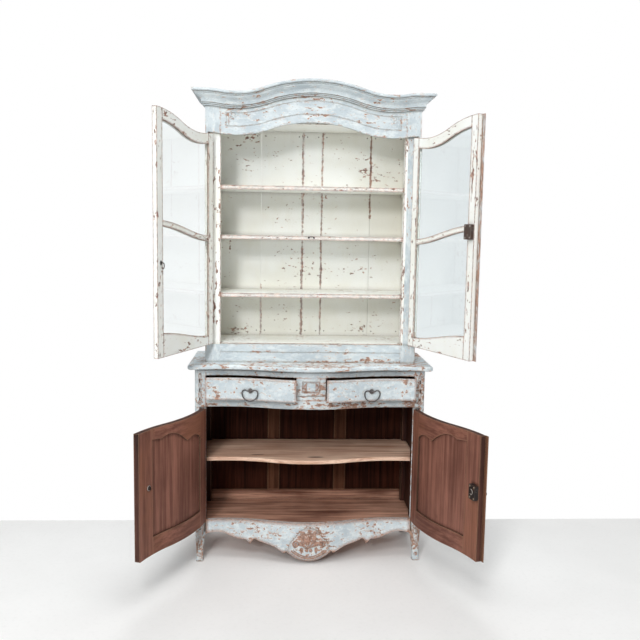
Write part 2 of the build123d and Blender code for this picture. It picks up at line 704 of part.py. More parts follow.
# Cornice moulding: steps at the foot, a cyma and a stepped fillet, as points (out, up)
FOOT_STEPS = ((0, 0), (9, 0), (11, 3), (9, 6), (12, 6), (15, 9.5), (12, 13), (16, 13), (16, 17))
CYMA = ((16, 17), (22, 30), (36, 40), (43, 50))
CYMA_ENDS = ((0.2, 1), (0.3, 1))
FILLET_STEPS = ((43, 50), (47, 50), (49, 52.5), (47, 55), (51, 55), (CORNICE_OUT, 59))


def cornice_profile():
    # Moulding from its foot on the frieze to the top fillet, drawn in the open line
    Polyline(*FOOT_STEPS)
    Spline(*CYMA, tangents=CYMA_ENDS)
    Polyline(*FILLET_STEPS, (CORNICE_OUT, CORNICE_H), (0, CORNICE_H), (0, 0))


CORNICE_END = HUTCH_HALF + 2 * CORNICE_OUT
CORNICE_Z = arch_z(CORNICE_END, CORNICE_LIFT)
FRONT_END = Plane((-CORNICE_END, FRONT_Y, CORNICE_Z), x_dir=(0, -1, 0), z_dir=(-1, 0, 0))
BACK_END = Plane((HUTCH_HALF, BACK_Y, CORNICE_Z), x_dir=(1, 0, 0), z_dir=(0, -1, 0))
MITRE = Plane((HUTCH_HALF, FRONT_Y, 0), x_dir=(0, 0, 1), z_dir=(1, 1, 0))
with BuildPart() as cornice_front:
    with BuildLine(FACE) as run:
        arch_arcs(CORNICE_LIFT, -CORNICE_END, CORNICE_END)
    with BuildSketch(FRONT_END) as end:
        with BuildLine():
            cornice_profile()
        make_face()
    sweep(end.sketch, path=run.wire())
    split(bisect_by=MITRE, keep=Keep.BOTTOM)
    mirror(about=Plane.YZ, mode=Mode.INTERSECT)
with BuildPart() as cornice_returns:
    with BuildSketch(BACK_END):
        with BuildLine():
            cornice_profile()
        make_face()
    extrude(amount=HUTCH_DEPTH + 2 * CORNICE_OUT)
    split(bisect_by=MITRE, keep=Keep.TOP)
    mirror(about=Plane.YZ)
save_group((cornice_front, cornice_returns), "cornice")


# Hinges: the frame half carries the pin, the door half turns on it
def hinge_half(axis, z_from, z_to, leaf_way, finial_up):
    # Barrel, leaf and end button of one half, put into the open part
    x, y = axis.position.X, axis.position.Y
    with BuildSketch(Plane.XY.offset(z_from)) as ring:
        with Locations((x, y)):
            Circle(BARREL_R)
    extrude(ring.sketch, amount=z_to - z_from)
    leaf = sorted((x + leaf_way * HINGE_SIDE, x + leaf_way * (HINGE_SIDE - LEAF_T)))
    block(*leaf, y + LEAF_IN, y + HINGE_OUT + LEAF_DEPTH, z_from + LEAF_END, z_to - LEAF_END)
    with BuildSketch(Plane.XY.offset(z_to if finial_up else z_from)) as button:
        with Locations((x, y)):
            Circle(BARREL_R - BUTTON_IN)
    extrude(button.sketch, amount=BUTTON_H if finial_up else -BUTTON_H)


def pin(axis, z, radius, length, mode):
    # Round pin or its bore on the hinge line, put into the open part
    with BuildSketch(Plane.XY.offset(z)) as spot:
        with Locations((axis.position.X, axis.position.Y)):
            Circle(radius)
    extrude(spot.sketch, amount=length, mode=mode)


with BuildPart() as frame_hinges:
    for axis, spots in ((UPPER_AXIS, UPPER_HINGE_Z), (LOWER_AXIS, LOWER_HINGE_Z)):
        for z in spots:
            hinge_half(axis, z - BARREL_H, z, 1, False)
            pin(axis, z, PIN_R, PIN_LENGTH, Mode.ADD)
    mirror(about=Plane.YZ)
save(frame_hinges.part, "frame_hinges")
for axis, spots, level in ((UPPER_AXIS, UPPER_HINGE_Z, "upper"), (LOWER_AXIS, LOWER_HINGE_Z, "lower")):
    with BuildPart() as door_hinges:
        for z in spots:
            hinge_half(axis, z + BARREL_GAP, z + BARREL_GAP + BARREL_H, -1, True)
            pin(axis, z, PIN_R + PIN_ROOM, PIN_LENGTH + PIN_SPARE, Mode.SUBTRACT)
    save_hung(door_hinges.part, axis, level + "_{}_door_hinges")

# Upper doors: two stiles, arched top rail, foot rail, curved muntin and two panes
PANE_LEFT = MEETING_X + UPPER_STILE
PANE_RIGHT = UPPER_EDGE_X - UPPER_STILE
SIGHT_FREE_Z = UPPER_DOOR_BOTTOM + FOOT_RAIL_FREE
SIGHT_HINGE_Z = UPPER_DOOR_BOTTOM + FOOT_RAIL_HINGE
MUNTIN_HINGE_Z = HUTCH_SILL + MUNTIN_LIFT
MUNTIN_FREE_Z = MUNTIN_HINGE_Z + MUNTIN_SLOPE
DOOR_TOP = -UPPER_TOP_GAP
SIGHT_TOP = DOOR_TOP - UPPER_TOP_RAIL
PANE_Y = FRONT_Y + UPPER_DOOR_T - GLASS_BACK - GLASS_T


def s_line(free_z, hinge_z, x_from, x_to):
    # S-curve that falls from the free edge to the hinge edge, drawn in the open line
    mid = ((PANE_LEFT + PANE_RIGHT) / 2, (free_z + hinge_z) / 2)
    Spline((x_from, free_z), mid, (x_to, hinge_z), tangents=S_CURVE_ENDS)


def pane_outlines(grow, thick, depth_from, mode):
    # Both panes of one door, grown past the sight edges, put into the open part
    x_from, x_to = PANE_LEFT - grow, PANE_RIGHT + grow
    half = MUNTIN_H / 2 - grow
    plane = Plane.XZ.offset(-depth_from)
    with BuildSketch(plane) as upper:
        with BuildLine():
            arch_arcs(SIGHT_TOP + grow, x_from, x_to)
            s_line(MUNTIN_FREE_Z + half, MUNTIN_HINGE_Z + half, x_from, x_to)
            Line((x_from, MUNTIN_FREE_Z + half), (x_from, arch_z(x_from, SIGHT_TOP + grow)))
            Line((x_to, MUNTIN_HINGE_Z + half), (x_to, arch_z(x_to, SIGHT_TOP + grow)))
        make_face()
    extrude(upper.sketch, amount=-thick, mode=mode)
    with BuildSketch(plane) as lower:
        with BuildLine():
            s_line(MUNTIN_FREE_Z - half, MUNTIN_HINGE_Z - half, x_from, x_to)
            s_line(SIGHT_FREE_Z - grow, SIGHT_HINGE_Z - grow, x_from, x_to)
            Line((x_from, MUNTIN_FREE_Z - half), (x_from, SIGHT_FREE_Z - grow))
            Line((x_to, MUNTIN_HINGE_Z - half), (x_to, SIGHT_HINGE_Z - grow))
        make_face()
    extrude(lower.sketch, amount=-thick, mode=mode)


def pane_groove():
    pane_outlines(GLASS_HOLD + GLASS_ROOM, GLASS_T + 2 * GLASS_ROOM, PANE_Y - GLASS_ROOM, Mode.SUBTRACT)


with BuildPart() as panes:
    pane_outlines(GLASS_HOLD, GLASS_T, PANE_Y, Mode.ADD)
save_hung(panes.part, UPPER_AXIS, "upper_{}_door_panes")
with BuildPart() as upper_stiles:
    for x_from, x_to in ((MEETING_X, PANE_LEFT), (PANE_RIGHT, UPPER_EDGE_X)):
        with BuildSketch(FACE) as outline:
            with BuildLine():
                arch_face(DOOR_TOP, x_from, x_to, UPPER_DOOR_BOTTOM)
            make_face()
        extrude(outline.sketch, amount=-UPPER_DOOR_T)
    pane_groove()
save_hung(upper_stiles.part, UPPER_AXIS, "upper_{}_door_stiles", sides=("left",))
with BuildPart() as lock_stiles:
    add(upper_stiles.part)
    with BuildSketch(FACE):
        with Locations((KEY_X, UPPER_LOCK_Z - KEY_DROP)):
            Circle(KEY_R + KEY_ROOM)
    extrude(amount=-UPPER_DOOR_T, mode=Mode.SUBTRACT)
save_hung(lock_stiles.part, UPPER_AXIS, "upper_{}_door_stiles", sides=("right",))
with BuildPart() as upper_rails:
    with BuildSketch(FACE):
        with BuildLine():
            arch_band(SIGHT_TOP, DOOR_TOP, PANE_LEFT, PANE_RIGHT)
        make_face()
    extrude(amount=-UPPER_DOOR_T)
    with BuildSketch(FACE) as foot:
        with BuildLine():
            s_line(SIGHT_FREE_Z, SIGHT_HINGE_Z, PANE_LEFT, PANE_RIGHT)
            Polyline(
                (PANE_LEFT, SIGHT_FREE_Z),
                (PANE_LEFT, UPPER_DOOR_BOTTOM),
                (PANE_RIGHT, UPPER_DOOR_BOTTOM),
                (PANE_RIGHT, SIGHT_HINGE_Z),
            )
        make_face()
    extrude(foot.sketch, amount=-UPPER_DOOR_T)
    pane_groove()
save_hung(upper_rails.part, UPPER_AXIS, "upper_{}_door_rails")
with BuildPart() as muntin:
    with BuildSketch(FACE):
        with BuildLine():
            for half in (-MUNTIN_H / 2, MUNTIN_H / 2):
                s_line(MUNTIN_FREE_Z + half, MUNTIN_HINGE_Z + half, PANE_LEFT, PANE_RIGHT)
            for x, z in ((PANE_LEFT, MUNTIN_FREE_Z), (PANE_RIGHT, MUNTIN_HINGE_Z)):
                Line((x, z - MUNTIN_H / 2), (x, z + MUNTIN_H / 2))
        make_face()
    extrude(amount=-UPPER_DOOR_T)
    pane_groove()
save_hung(muntin.part, UPPER_AXIS, "upper_{}_door_muntin")
with BuildPart() as upper_bead:
    with BuildSketch(FACE):
        with BuildLine():
            arch_face(DOOR_TOP, -BEAD_HALF, BEAD_HALF, UPPER_DOOR_BOTTOM)
        make_face()
    extrude(amount=BEAD_OUT)
    fillet(upper_bead.faces().sort_by(Axis.Y)[0].edges(), radius=BEAD_OUT / 2)
    room_y = (FRONT_Y - BEAD_ROOM, FRONT_Y)
    block(-BEAD_HALF, MEETING_X, *room_y, UPPER_DOOR_BOTTOM, CEILING_Z, mode=Mode.SUBTRACT)
save_hung(upper_bead.part, UPPER_AXIS, "upper_{}_door_bead", sides=("right",))

# Lower doors: bowed stiles and rails round a fielded panel
FIELD_LEFT = MEETING_X + LOWER_STILE
FIELD_RIGHT = LOWER_EDGE_X - LOWER_HINGE_STILE
FIELD_LOW = LOWER_DOOR_BOTTOM + LOWER_FOOT_RAIL
FIELD_TOP = LOWER_DOOR_TOP - LOWER_TOP_RAIL


def field_outline(grow):
    # Panel outline whose ogee top falls to the hinge side, drawn in the open line
    x_from, x_to = FIELD_LEFT - grow, FIELD_RIGHT + grow
    low, high = FIELD_LOW - grow, FIELD_TOP + grow
    span = FIELD_RIGHT - FIELD_LEFT
    knee, crest, fall, notch, flick = [FIELD_LEFT + span * t for t in OGEE_SHARES]
    knee_point = (knee, high - OGEE_KNEE)
    notch_point = (notch, high - OGEE_DROP)
    corner_point = (x_to, high - OGEE_CORNER)
    Polyline(knee_point, (x_from, high), (x_from, low), (x_to, low), corner_point)
    Spline(knee_point, (crest, high + OGEE_CREST), (fall, high - OGEE_FALL), notch_point)
    Spline(notch_point, (flick, notch_point[1] + OGEE_FLICK), corner_point)


def field_prism(grow, mode):
    with BuildSketch(AHEAD) as outline:
        with BuildLine():
            field_outline(grow)
        make_face()
    extrude(outline.sketch, amount=-2 * REACH, mode=mode)


with BuildPart() as panel:
    bowed_board(-PANEL_SET, -PANEL_SET - PANEL_T, 0, LOWER_EDGE_X, LOWER_DOOR_BOTTOM, LOWER_DOOR_TOP)
    field_prism(PANEL_HOLD, Mode.INTERSECT)
with BuildPart() as field:
    bowed_board(PANEL_RAISE - PANEL_SET, -PANEL_SET, FIELD_LEFT, FIELD_RIGHT, FIELD_LOW, LOWER_DOOR_TOP)
    field_prism(-PANEL_FIELD, Mode.INTERSECT)
with BuildPart() as fielded_panel:
    add(panel.part)
    add(field.part)
save_hung(fielded_panel.part, LOWER_AXIS, "lower_{}_door_panel")
with BuildPart() as panel_groove:
    bowed_board(
        -PANEL_SET + GLASS_ROOM,
        -PANEL_SET - PANEL_T - GLASS_ROOM,
        0,
        LOWER_EDGE_X,
        LOWER_DOOR_BOTTOM,
        LOWER_DOOR_TOP,
    )
    field_prism(PANEL_HOLD + GLASS_ROOM, Mode.INTERSECT)
with BuildPart() as lower_stiles:
    bowed_board(0, -LOWER_DOOR_T, MEETING_X, FIELD_LEFT, LOWER_DOOR_BOTTOM, LOWER_DOOR_TOP)
    bowed_board(0, -LOWER_DOOR_T, FIELD_RIGHT, LOWER_EDGE_X, LOWER_DOOR_BOTTOM, LOWER_DOOR_TOP)
    add(panel_groove.part, mode=Mode.SUBTRACT)
save_hung(lower_stiles.part, LOWER_AXIS, "lower_{}_door_stiles", sides=("left",))
with BuildPart() as lower_lock_stiles:
    add(lower_stiles.part)
    with BuildSketch(AHEAD):
        with Locations((KEY_X, LOWER_LOCK_Z - KEY_DROP)):
            Circle(KEY_R + KEY_ROOM)
    extrude(amount=-2 * REACH, mode=Mode.SUBTRACT)
save_hung(lower_lock_stiles.part, LOWER_AXIS, "lower_{}_door_stiles", sides=("right",))
with BuildPart() as lower_rails:
    bowed_board(0, -LOWER_DOOR_T, FIELD_LEFT, FIELD_RIGHT, LOWER_DOOR_BOTTOM, LOWER_DOOR_TOP)
    field_prism(0, Mode.SUBTRACT)
    add(panel_groove.part, mode=Mode.SUBTRACT)
save_hung(lower_rails.part, LOWER_AXIS, "lower_{}_door_rails")
with BuildPart() as lower_bead:
    bowed_board(BEAD_OUT, 0, -BEAD_HALF, BEAD_HALF, LOWER_DOOR_BOTTOM, LOWER_DOOR_TOP)
    fillet(lower_bead.faces().sort_by(Axis.Y)[0].edges(), radius=BEAD_OUT / 2)
    bowed_board(BEAD_ROOM, 0, -BEAD_HALF, MEETING_X, LOWER_DOOR_BOTTOM, LOWER_DOOR_TOP, mode=Mode.SUBTRACT)
save_hung(lower_bead.part, LOWER_AXIS, "lower_{}_door_bead", sides=("right",))
with BuildPart() as stud:
    with BuildSketch(Plane.XZ.offset(-bow_y(STUD_X, -LOWER_DOOR_T) - STUD_OUT)):
        with Locations((STUD_X, LOWER_LOCK_Z)):
            Circle(STUD_R)
    extrude(amount=2 * STUD_OUT)
    limits = (0, FIELD_LEFT, LOWER_DOOR_BOTTOM, LOWER_DOOR_TOP)
    bowed_board(CUT_AHEAD, -LOWER_DOOR_T, *limits, mode=Mode.SUBTRACT)
save_hung(stud.part, LOWER_AXIS, "lower_{}_door_stud", sides=("left",))

# Rim locks: case with keyplate, sliding bolt and key
for level, axis, lock_z in (("upper", UPPER_AXIS, UPPER_LOCK_Z), ("lower", LOWER_AXIS, LOWER_LOCK_Z)):
    bowed = axis is LOWER_AXIS
    lock_left = MEETING_X + LOCK_IN
    inner_y = bow_y(lock_left + LOCK_W, -LOWER_DOOR_T) if bowed else FRONT_Y + UPPER_DOOR_T
    face_y = bow_y(KEY_X) if bowed else FRONT_Y
    key_z = lock_z - KEY_DROP
    bolt_y = (inner_y + LOCK_WALL, inner_y + LOCK_WALL + BOLT_T)
    bolt_z = (lock_z + BOLT_LIFT - BOLT_H / 2, lock_z + BOLT_LIFT + BOLT_H / 2)
    with BuildPart() as case:
        with BuildSketch(Plane.XZ.offset(-inner_y - LOCK_T)):
            with Locations((lock_left + LOCK_W / 2, lock_z)):
                RectangleRounded(LOCK_W, LOCK_H, LOCK_ROUND)
        extrude(amount=LOCK_T + LOWER_DOOR_T / 2)
        if bowed:
            bowed_board(CUT_AHEAD, -LOWER_DOOR_T, *limits, mode=Mode.SUBTRACT)
        else:
            block(0, 2 * LOCK_W, FRONT_Y, inner_y, UPPER_DOOR_BOTTOM, CEILING_Z, mode=Mode.SUBTRACT)
        block(
            lock_left - LAP,
            lock_left + BOLT_W + BOLT_SPARE,
            bolt_y[0] - BOLT_ROOM,
            bolt_y[1] + BOLT_ROOM,
            bolt_z[0] - BOLT_ROOM,
            bolt_z[1] + BOLT_ROOM,
            mode=Mode.SUBTRACT,
        )
        with BuildSketch(Plane.XZ.offset(-inner_y - LOCK_T + LOCK_WALL)) as chamber:
            with Locations((KEY_X, key_z)):
                Circle(KEY_BIT + KEY_BIT_ROOM)
        extrude(chamber.sketch, amount=LOCK_T - 2 * LOCK_WALL, mode=Mode.SUBTRACT)
        with BuildSketch(Plane.XZ.offset(-inner_y - LOCK_T)) as keyhole:
            with Locations((KEY_X, key_z)):
                Circle(KEY_R + KEY_ROOM)
        extrude(keyhole.sketch, amount=2 * LOCK_T, mode=Mode.SUBTRACT)
    with BuildPart() as keyplate:
        if bowed:
            bowed_board(SCUTCHEON_T, 0, MEETING_X, FIELD_LEFT, LOWER_DOOR_BOTTOM, LOWER_DOOR_TOP)
        else:
            block(MEETING_X, PANE_LEFT, FRONT_Y - SCUTCHEON_T, FRONT_Y, UPPER_DOOR_BOTTOM, CEILING_Z)
        with BuildSketch(AHEAD) as plate:
            with Locations((KEY_X, key_z)):
                Ellipse(SCUTCHEON_W / 2, SCUTCHEON_H / 2)
                Circle(KEY_R + KEY_ROOM, mode=Mode.SUBTRACT)
        extrude(plate.sketch, amount=-2 * REACH, mode=Mode.INTERSECT)
    lock_parts = case.part.solids() + keyplate.part.solids()
    save_hung(Compound(children=lock_parts), axis, level + "_{}_door_lock", sides=("right",))
    with BuildPart() as bolt:
        block(lock_left + BOLT_IN, lock_left + BOLT_IN + BOLT_W, *bolt_y, *bolt_z)
        chamfer(bolt.edges().filter_by(Axis.Z).group_by(Axis.X)[0], length=BOLT_NOSE)
    save_hung(bolt.part, axis, level + "_lock_bolt", sides=("right",))
    with BuildPart() as key:
        with BuildSketch(Plane.XZ.offset(-inner_y - LOCK_T)):
            with Locations((KEY_X, key_z)):
                Circle(KEY_R)
        extrude(amount=inner_y + LOCK_T - face_y + KEY_OUT)
        with BuildSketch(Plane.XZ.offset(-inner_y - LOCK_T + LOCK_WALL + LAP)) as bit:
            with Locations((KEY_X, key_z)):
                Rectangle(KEY_BIT_T, KEY_BIT, align=(Align.CENTER, Align.MAX))
        extrude(bit.sketch, amount=LOCK_T - 2 * LOCK_WALL - 2 * LAP)
        with BuildSketch(Plane.YZ.offset(KEY_X - BOW_RING_T / 2)) as bow:
            with Locations((face_y - KEY_OUT - BOW_RING_R + BOW_RING_LAP, key_z)):
                Circle(BOW_RING_R)
                Circle(BOW_RING_R - BOW_RING_T, mode=Mode.SUBTRACT)
        extrude(bow.sketch, amount=BOW_RING_T)
    save_hung(key.part, axis, level + "_key", sides=("right",))

# Drawers, built shut and drawn out to their rest position
FRONT_LEFT = DIVIDER_HALF + DRAWER_ROOM
FRONT_RIGHT = LEG_INNER - DRAWER_ROOM
SIDE_LOW = DRAWER_BOTTOM + SLIDE_ROOM
BOX_BACK = FRAME_Y - BOX_SHORT
BOX_SIDES = (FRONT_LEFT + DRAWER_SIDE_IN, FRONT_RIGHT - DRAWER_SIDE_IN - DRAWER_SIDE_T)
DRAWN = Location((0, -DRAWER_REST, 0))
with BuildPart() as drawer_front:
    front_z = (DRAWER_BOTTOM + DRAWER_LIFT, DRAWER_TOP - DRAWER_LIFT)
    bowed_board(0, -DRAWER_FRONT_T, FRONT_LEFT, FRONT_RIGHT, *front_z)
    long_edges = [e for e in drawer_front.edges() if e.length > DRAWER_FRONT_T + LAP]
    rim = [e for e in long_edges if e.center().Y < bow_y(e.center().X, -DRAWER_FRONT_T / 2)]
    chamfer(rim, length=DRAWER_BEVEL)
save_pair(drawer_front.part.moved(DRAWN), "{}_drawer_front")
within = (BOX_SIDES[0] + DRAWER_SIDE_T, BOX_SIDES[1])
bottom_z = SIDE_LOW + BOTTOM_LIFT


def behind_front():
    # Room for the drawer front, taken out of the open part
    limits = (FRONT_LEFT - LAP, FRONT_RIGHT + LAP, RAIL_BOTTOM, COUNTER_TOP)
    bowed_board(CUT_AHEAD, -DRAWER_FRONT_T, *limits, mode=Mode.SUBTRACT)


with BuildPart() as drawer_sides:
    for x in BOX_SIDES:
        block(x, x + DRAWER_SIDE_T, BOW_CREST_Y, BOX_BACK, SIDE_LOW, SIDE_LOW + DRAWER_SIDE_H)
    behind_front()
with BuildPart() as drawer_back:
    block(*within, BOX_BACK - DRAWER_SIDE_T, BOX_BACK, SIDE_LOW, SIDE_LOW + DRAWER_SIDE_H)
with BuildPart() as drawer_base:
    block(*within, BOW_CREST_Y, BOX_BACK - DRAWER_SIDE_T, bottom_z, bottom_z + BOTTOM_T)
    behind_front()
drawer_box = Compound(children=drawer_sides.solids() + drawer_back.solids() + drawer_base.solids())
save_pair(drawer_box.moved(DRAWN), "{}_drawer_box")

# Ring pulls: an eye on a rose and a kidney-shaped ring through it
PULL_SLOPE = (BOW_TROUGH_X - PULL_X) / sqrt(BOW_RADIUS**2 - (PULL_X - BOW_TROUGH_X) ** 2)
PULL = Plane((PULL_X, bow_y(PULL_X), PULL_Z), x_dir=(1, PULL_SLOPE, 0), z_dir=(PULL_SLOPE, -1, 0))
CROSS = Plane(PULL.origin, x_dir=PULL.z_dir, z_dir=PULL.x_dir)
with BuildPart() as pull_post:
    with BuildSketch(PULL):
        Circle(ROSE_R)
    extrude(amount=ROSE_T)
    with BuildSketch(PULL.offset(ROSE_T)) as stem:
        Circle(STEM_R)
    extrude(stem.sketch, amount=PULL_STAND - ROSE_T)
    with BuildSketch(CROSS.offset(-EYE_HALF)) as eye:
        with Locations((PULL_STAND, 0)):
            Circle(EYE_R)
    extrude(eye.sketch, amount=2 * EYE_HALF)
    bowed_board(0, -DRAWER_FRONT_T, FRONT_LEFT, FRONT_RIGHT, DRAWER_BOTTOM, DRAWER_TOP, mode=Mode.SUBTRACT)
    with BuildSketch(CROSS.offset(-2 * EYE_HALF)) as eye_bore:
        with Locations((PULL_STAND, 0)):
            Circle(RING_WIRE_R + PIN_ROOM)
    extrude(eye_bore.sketch, amount=4 * EYE_HALF, mode=Mode.SUBTRACT)
save_pair(pull_post.part.moved(DRAWN), "{}_pull_post")
LOBE_R = (RING_HALF - RING_PIVOT - RING_DIP_R * sin(radians(RING_DIP))) / (1 + sin(radians(RING_DIP)))
with BuildPart() as pull_ring:
    with BuildLine(PULL.offset(PULL_STAND)) as half_ring:
        pivot = Line((0, 0), (RING_PIVOT, 0))
        dip = JernArc(pivot @ 1, pivot % 1, RING_DIP_R, RING_DIP)
        shoulder = JernArc(dip @ 1, dip % 1, LOBE_R, -RING_DIP - 90)
        JernArc(shoulder @ 1, shoulder % 1, RING_HALF, -90)
    with BuildSketch(CROSS) as wire_round:
        with Locations((PULL_STAND, 0)):
            Circle(RING_WIRE_R)
    sweep(wire_round.sketch, path=half_ring.wire())
    mirror(about=CROSS)
save_pair(pull_ring.part.moved(DRAWN), "{}_pull_ring")
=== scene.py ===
import json
from math import atan2, cos, hypot, pi, radians, sin

import bpy
from mathutils import Matrix, Vector
from mathutils.bvhtree import BVHTree


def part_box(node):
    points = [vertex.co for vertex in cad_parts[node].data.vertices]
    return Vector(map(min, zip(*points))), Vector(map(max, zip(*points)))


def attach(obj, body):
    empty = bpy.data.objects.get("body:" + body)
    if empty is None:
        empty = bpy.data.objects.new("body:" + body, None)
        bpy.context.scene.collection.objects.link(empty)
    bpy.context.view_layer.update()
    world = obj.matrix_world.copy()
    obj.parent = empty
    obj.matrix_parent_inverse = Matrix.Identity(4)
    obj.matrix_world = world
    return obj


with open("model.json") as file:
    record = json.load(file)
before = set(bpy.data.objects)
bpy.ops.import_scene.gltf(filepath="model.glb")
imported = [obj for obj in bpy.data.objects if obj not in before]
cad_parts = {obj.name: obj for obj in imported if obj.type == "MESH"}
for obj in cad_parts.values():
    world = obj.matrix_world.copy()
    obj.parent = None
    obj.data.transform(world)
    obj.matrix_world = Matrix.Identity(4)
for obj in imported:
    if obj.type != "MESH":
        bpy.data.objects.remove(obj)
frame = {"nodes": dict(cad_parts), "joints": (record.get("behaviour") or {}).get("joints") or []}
nodes = frame["nodes"]
joints = {joint["name"]: joint for joint in frame["joints"]}
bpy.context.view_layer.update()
scene = bpy.context.scene
scene.view_settings.view_transform = "Standard"

# Camera at the photograph's viewpoint, in metres and degrees
CAMERA_PLACE = Vector((-0.1499, -3.4333, 1.542))
CAMERA_YAW = 3.0745
CAMERA_PITCH = 6.689
CAMERA_ROLL = 0.9649
CAMERA_LENS = 43.67
SENSOR = 36.0

# The wall stands this far back: the floor turns white there
WALL_Y = 0.555
WALL_SOFT = 0.004
FLOOR_REACH = 9.0
FLOOR_ROUGHNESS = 0.75

# Light from all round, and area lamps: name, place, target, size in metres, power in watts
SKY_STRENGTH = 0.19
LAMPS = (
    ("key", (-2.1, -6.8, 3.8), (0.0, 0.2, 1.1), 1.2, 210.0),
    ("high", (-0.9, -4.8, 5.0), (0.0, 0.1, 0.6), 1.6, 120.0),
    ("overhead", (0.2, -1.2, 5.4), (0.0, -0.5, 0.0), 3.2, 100.0),
    ("wall_bounce", (0.0, 3.2, 5.0), (0.0, 0.6, 0.0), 3.0, 95.0),
)


def srgb(red, green, blue):
    # Colour as read off a screen, turned into the shader's linear values
    shares = [value / 255 for value in (red, green, blue)]
    return [*(s / 12.92 if s < 0.04045 else ((s + 0.055) / 1.055) ** 2.4 for s in shares), 1.0]


BLUE = srgb(205, 215, 219)
BLUE_DEEP = srgb(188, 200, 206)
BLUE_PALE = srgb(224, 231, 232)
BLUE_SPECK = srgb(146, 146, 142)
CHALK = srgb(236, 233, 226)
TERRACOTTA = srgb(176, 134, 113)
BARE_BROWN = srgb(130, 95, 77)
CREAM = srgb(250, 252, 249)
CREAM_DEEP = srgb(238, 237, 226)
# Warm tone painted into the deep hollows of the cream as shade
CREAM_PAINTED_SHADE = srgb(216, 204, 178)
CHIP_BROWN = srgb(112, 74, 60)
CHIP_PINK = srgb(186, 146, 130)
# Grey-brown of grime and painted shade in creases and hollows
GRIME_AND_SHADE = srgb(120, 112, 98)
STAIN_LIGHT = srgb(150, 101, 85)
STAIN_DARK = srgb(94, 57, 46)
STAIN_WARM = srgb(138, 88, 62)
# Shelf and floor of the base: their wood, painted paler as the light that falls on their tops
SHELF_LIGHT = srgb(255, 224, 200)
SHELF_DARK = srgb(188, 140, 114)
FLOOR_LIGHT = srgb(216, 170, 146)
FLOOR_DARK = srgb(104, 68, 55)
# Near-black browns inside the base: dark stain, darkened further as painted shade
BACK_LIGHT = srgb(72, 36, 24)
BACK_FRAME = srgb(112, 76, 56)
BACK_FRAME_DARK = srgb(66, 38, 26)
BACK_DARK = srgb(30, 11, 6)
RAW_LIGHT = srgb(150, 118, 92)
RAW_DARK = srgb(104, 76, 57)
RAW_PALE = srgb(178, 146, 117)
IRON = srgb(52, 47, 46)
IRON_RUBBED = srgb(96, 88, 84)
DULL_IRON = srgb(88, 74, 69)
DULL_IRON_RUBBED = srgb(150, 140, 132)
PULL_IRON = srgb(82, 80, 82)
PULL_IRON_RUBBED = srgb(160, 157, 154)
PALE_IRON = srgb(150, 142, 136)
PALE_IRON_RUBBED = srgb(214, 208, 200)
RUST = srgb(98, 66, 52)
BRASS = srgb(150, 132, 112)
BRASS_RUBBED = srgb(206, 196, 182)
GLASS_LEFT = srgb(248, 252, 253)
# Greyer tint of the right panes: painted shade and reflection seen through them
GLASS_RIGHT_SHADED = srgb(232, 239, 241)
GROUND = srgb(244, 244, 243)
GROUND_PALE = srgb(249, 249, 248)
GROUND_GRIT = srgb(236, 236, 235)

# Directions that a face can look in
RIGHT = (1.0, 0.0, 0.0)
FRONT = (0.0, -1.0, 0.0)
BACK = (0.0, 1.0, 0.0)
UP = (0.0, 0.0, 1.0)
DOWN = (0.0, 0.0, -1.0)

# Stretch of a pattern along each axis: a small number draws it out along that axis
EVEN = (1.0, 1.0, 1.0)
ALONG_X = (0.4, 1.0, 1.0)
A_LITTLE_ALONG_X = (0.7, 1.0, 1.0)
ALONG_Z = (1.0, 1.0, 0.5)
WELL_ALONG_Z = (1.0, 1.0, 0.25)
BRUSHED_Z = (1.0, 1.0, 0.2)
CHIPS_X = (0.5, 1.0, 1.0)
CHIPS_Z = (1.0, 1.0, 0.4)
GRAIN_X = (0.035, 1.0, 1.0)
GRAIN_Y = (1.0, 0.035, 1.0)
GRAIN_Z = (1.0, 1.0, 0.035)

# Wear at which paint thins to its undercoat and then comes off
BLUE_THIN = (0.585, 0.63)
BLUE_BARE = (0.632, 0.648)
CREAM_THIN = (0.63, 0.7)
CREAM_BARE = (0.7, 0.715)

CRACK_SOFT = 0.01
CRACK_WANDER = 0.012
CRACK_CORE = 0.2
BUMP_DEPTH = 0.0012
IRON_BUMP = 0.3
GLASS_INDEX = 1.45
GLASS_ROUGHNESS = 0.01
GLASS_WAVE = 0.04
GLASS_WAVE_DEPTH = 0.002


class Nodes:
    # A node tree, with short calls for the nodes that finishes and backdrop share
    def __init__(self, tree):
        self.tree = tree
        self.tree.nodes.clear()

    def node(self, kind, values=None, **settings):
        made = self.tree.nodes.new(kind)
        for key, value in settings.items():
            setattr(made, key, value)
        for key, value in (values or {}).items():
            self.feed(made.inputs[key], value)
        return made

    def feed(self, socket, value):
        if isinstance(value, bpy.types.NodeSocket):
            self.tree.links.new(value, socket)
        else:
            socket.default_value = value

    def math(self, operation, a, b=0.0):
        return self.node("ShaderNodeMath", {0: a, 1: b}, operation=operation).outputs[0]

    def add(self, a, b):
        return self.math("ADD", a, b)

    def less(self, a, b):
        return self.math("SUBTRACT", a, b)

    def times(self, a, b):
        return self.math("MULTIPLY", a, b)

    def fade(self, value, low, high):
        values = {"Value": value, "From Min": low, "From Max": high}
        return self.node("ShaderNodeMapRange", values, interpolation_type="SMOOTHSTEP").outputs[0]

    def blend(self, share, a, b):
        return self.node("ShaderNodeMix", {0: share, 6: a, 7: b}, data_type="RGBA").outputs[2]

    def level(self, share, a, b):
        return self.node("ShaderNodeMix", {0: share, 2: a, 3: b}, data_type="FLOAT").outputs[0]

    def seen_directly(self):
        # 1 for rays that come from the camera, or through glass
        path = self.node("ShaderNodeLightPath")
        return self.math("MAXIMUM", path.outputs["Is Camera Ray"], path.outputs["Is Transmission Ray"])

    def show(self, surface, kind="ShaderNodeOutputMaterial"):
        self.node(kind, {"Surface": surface})


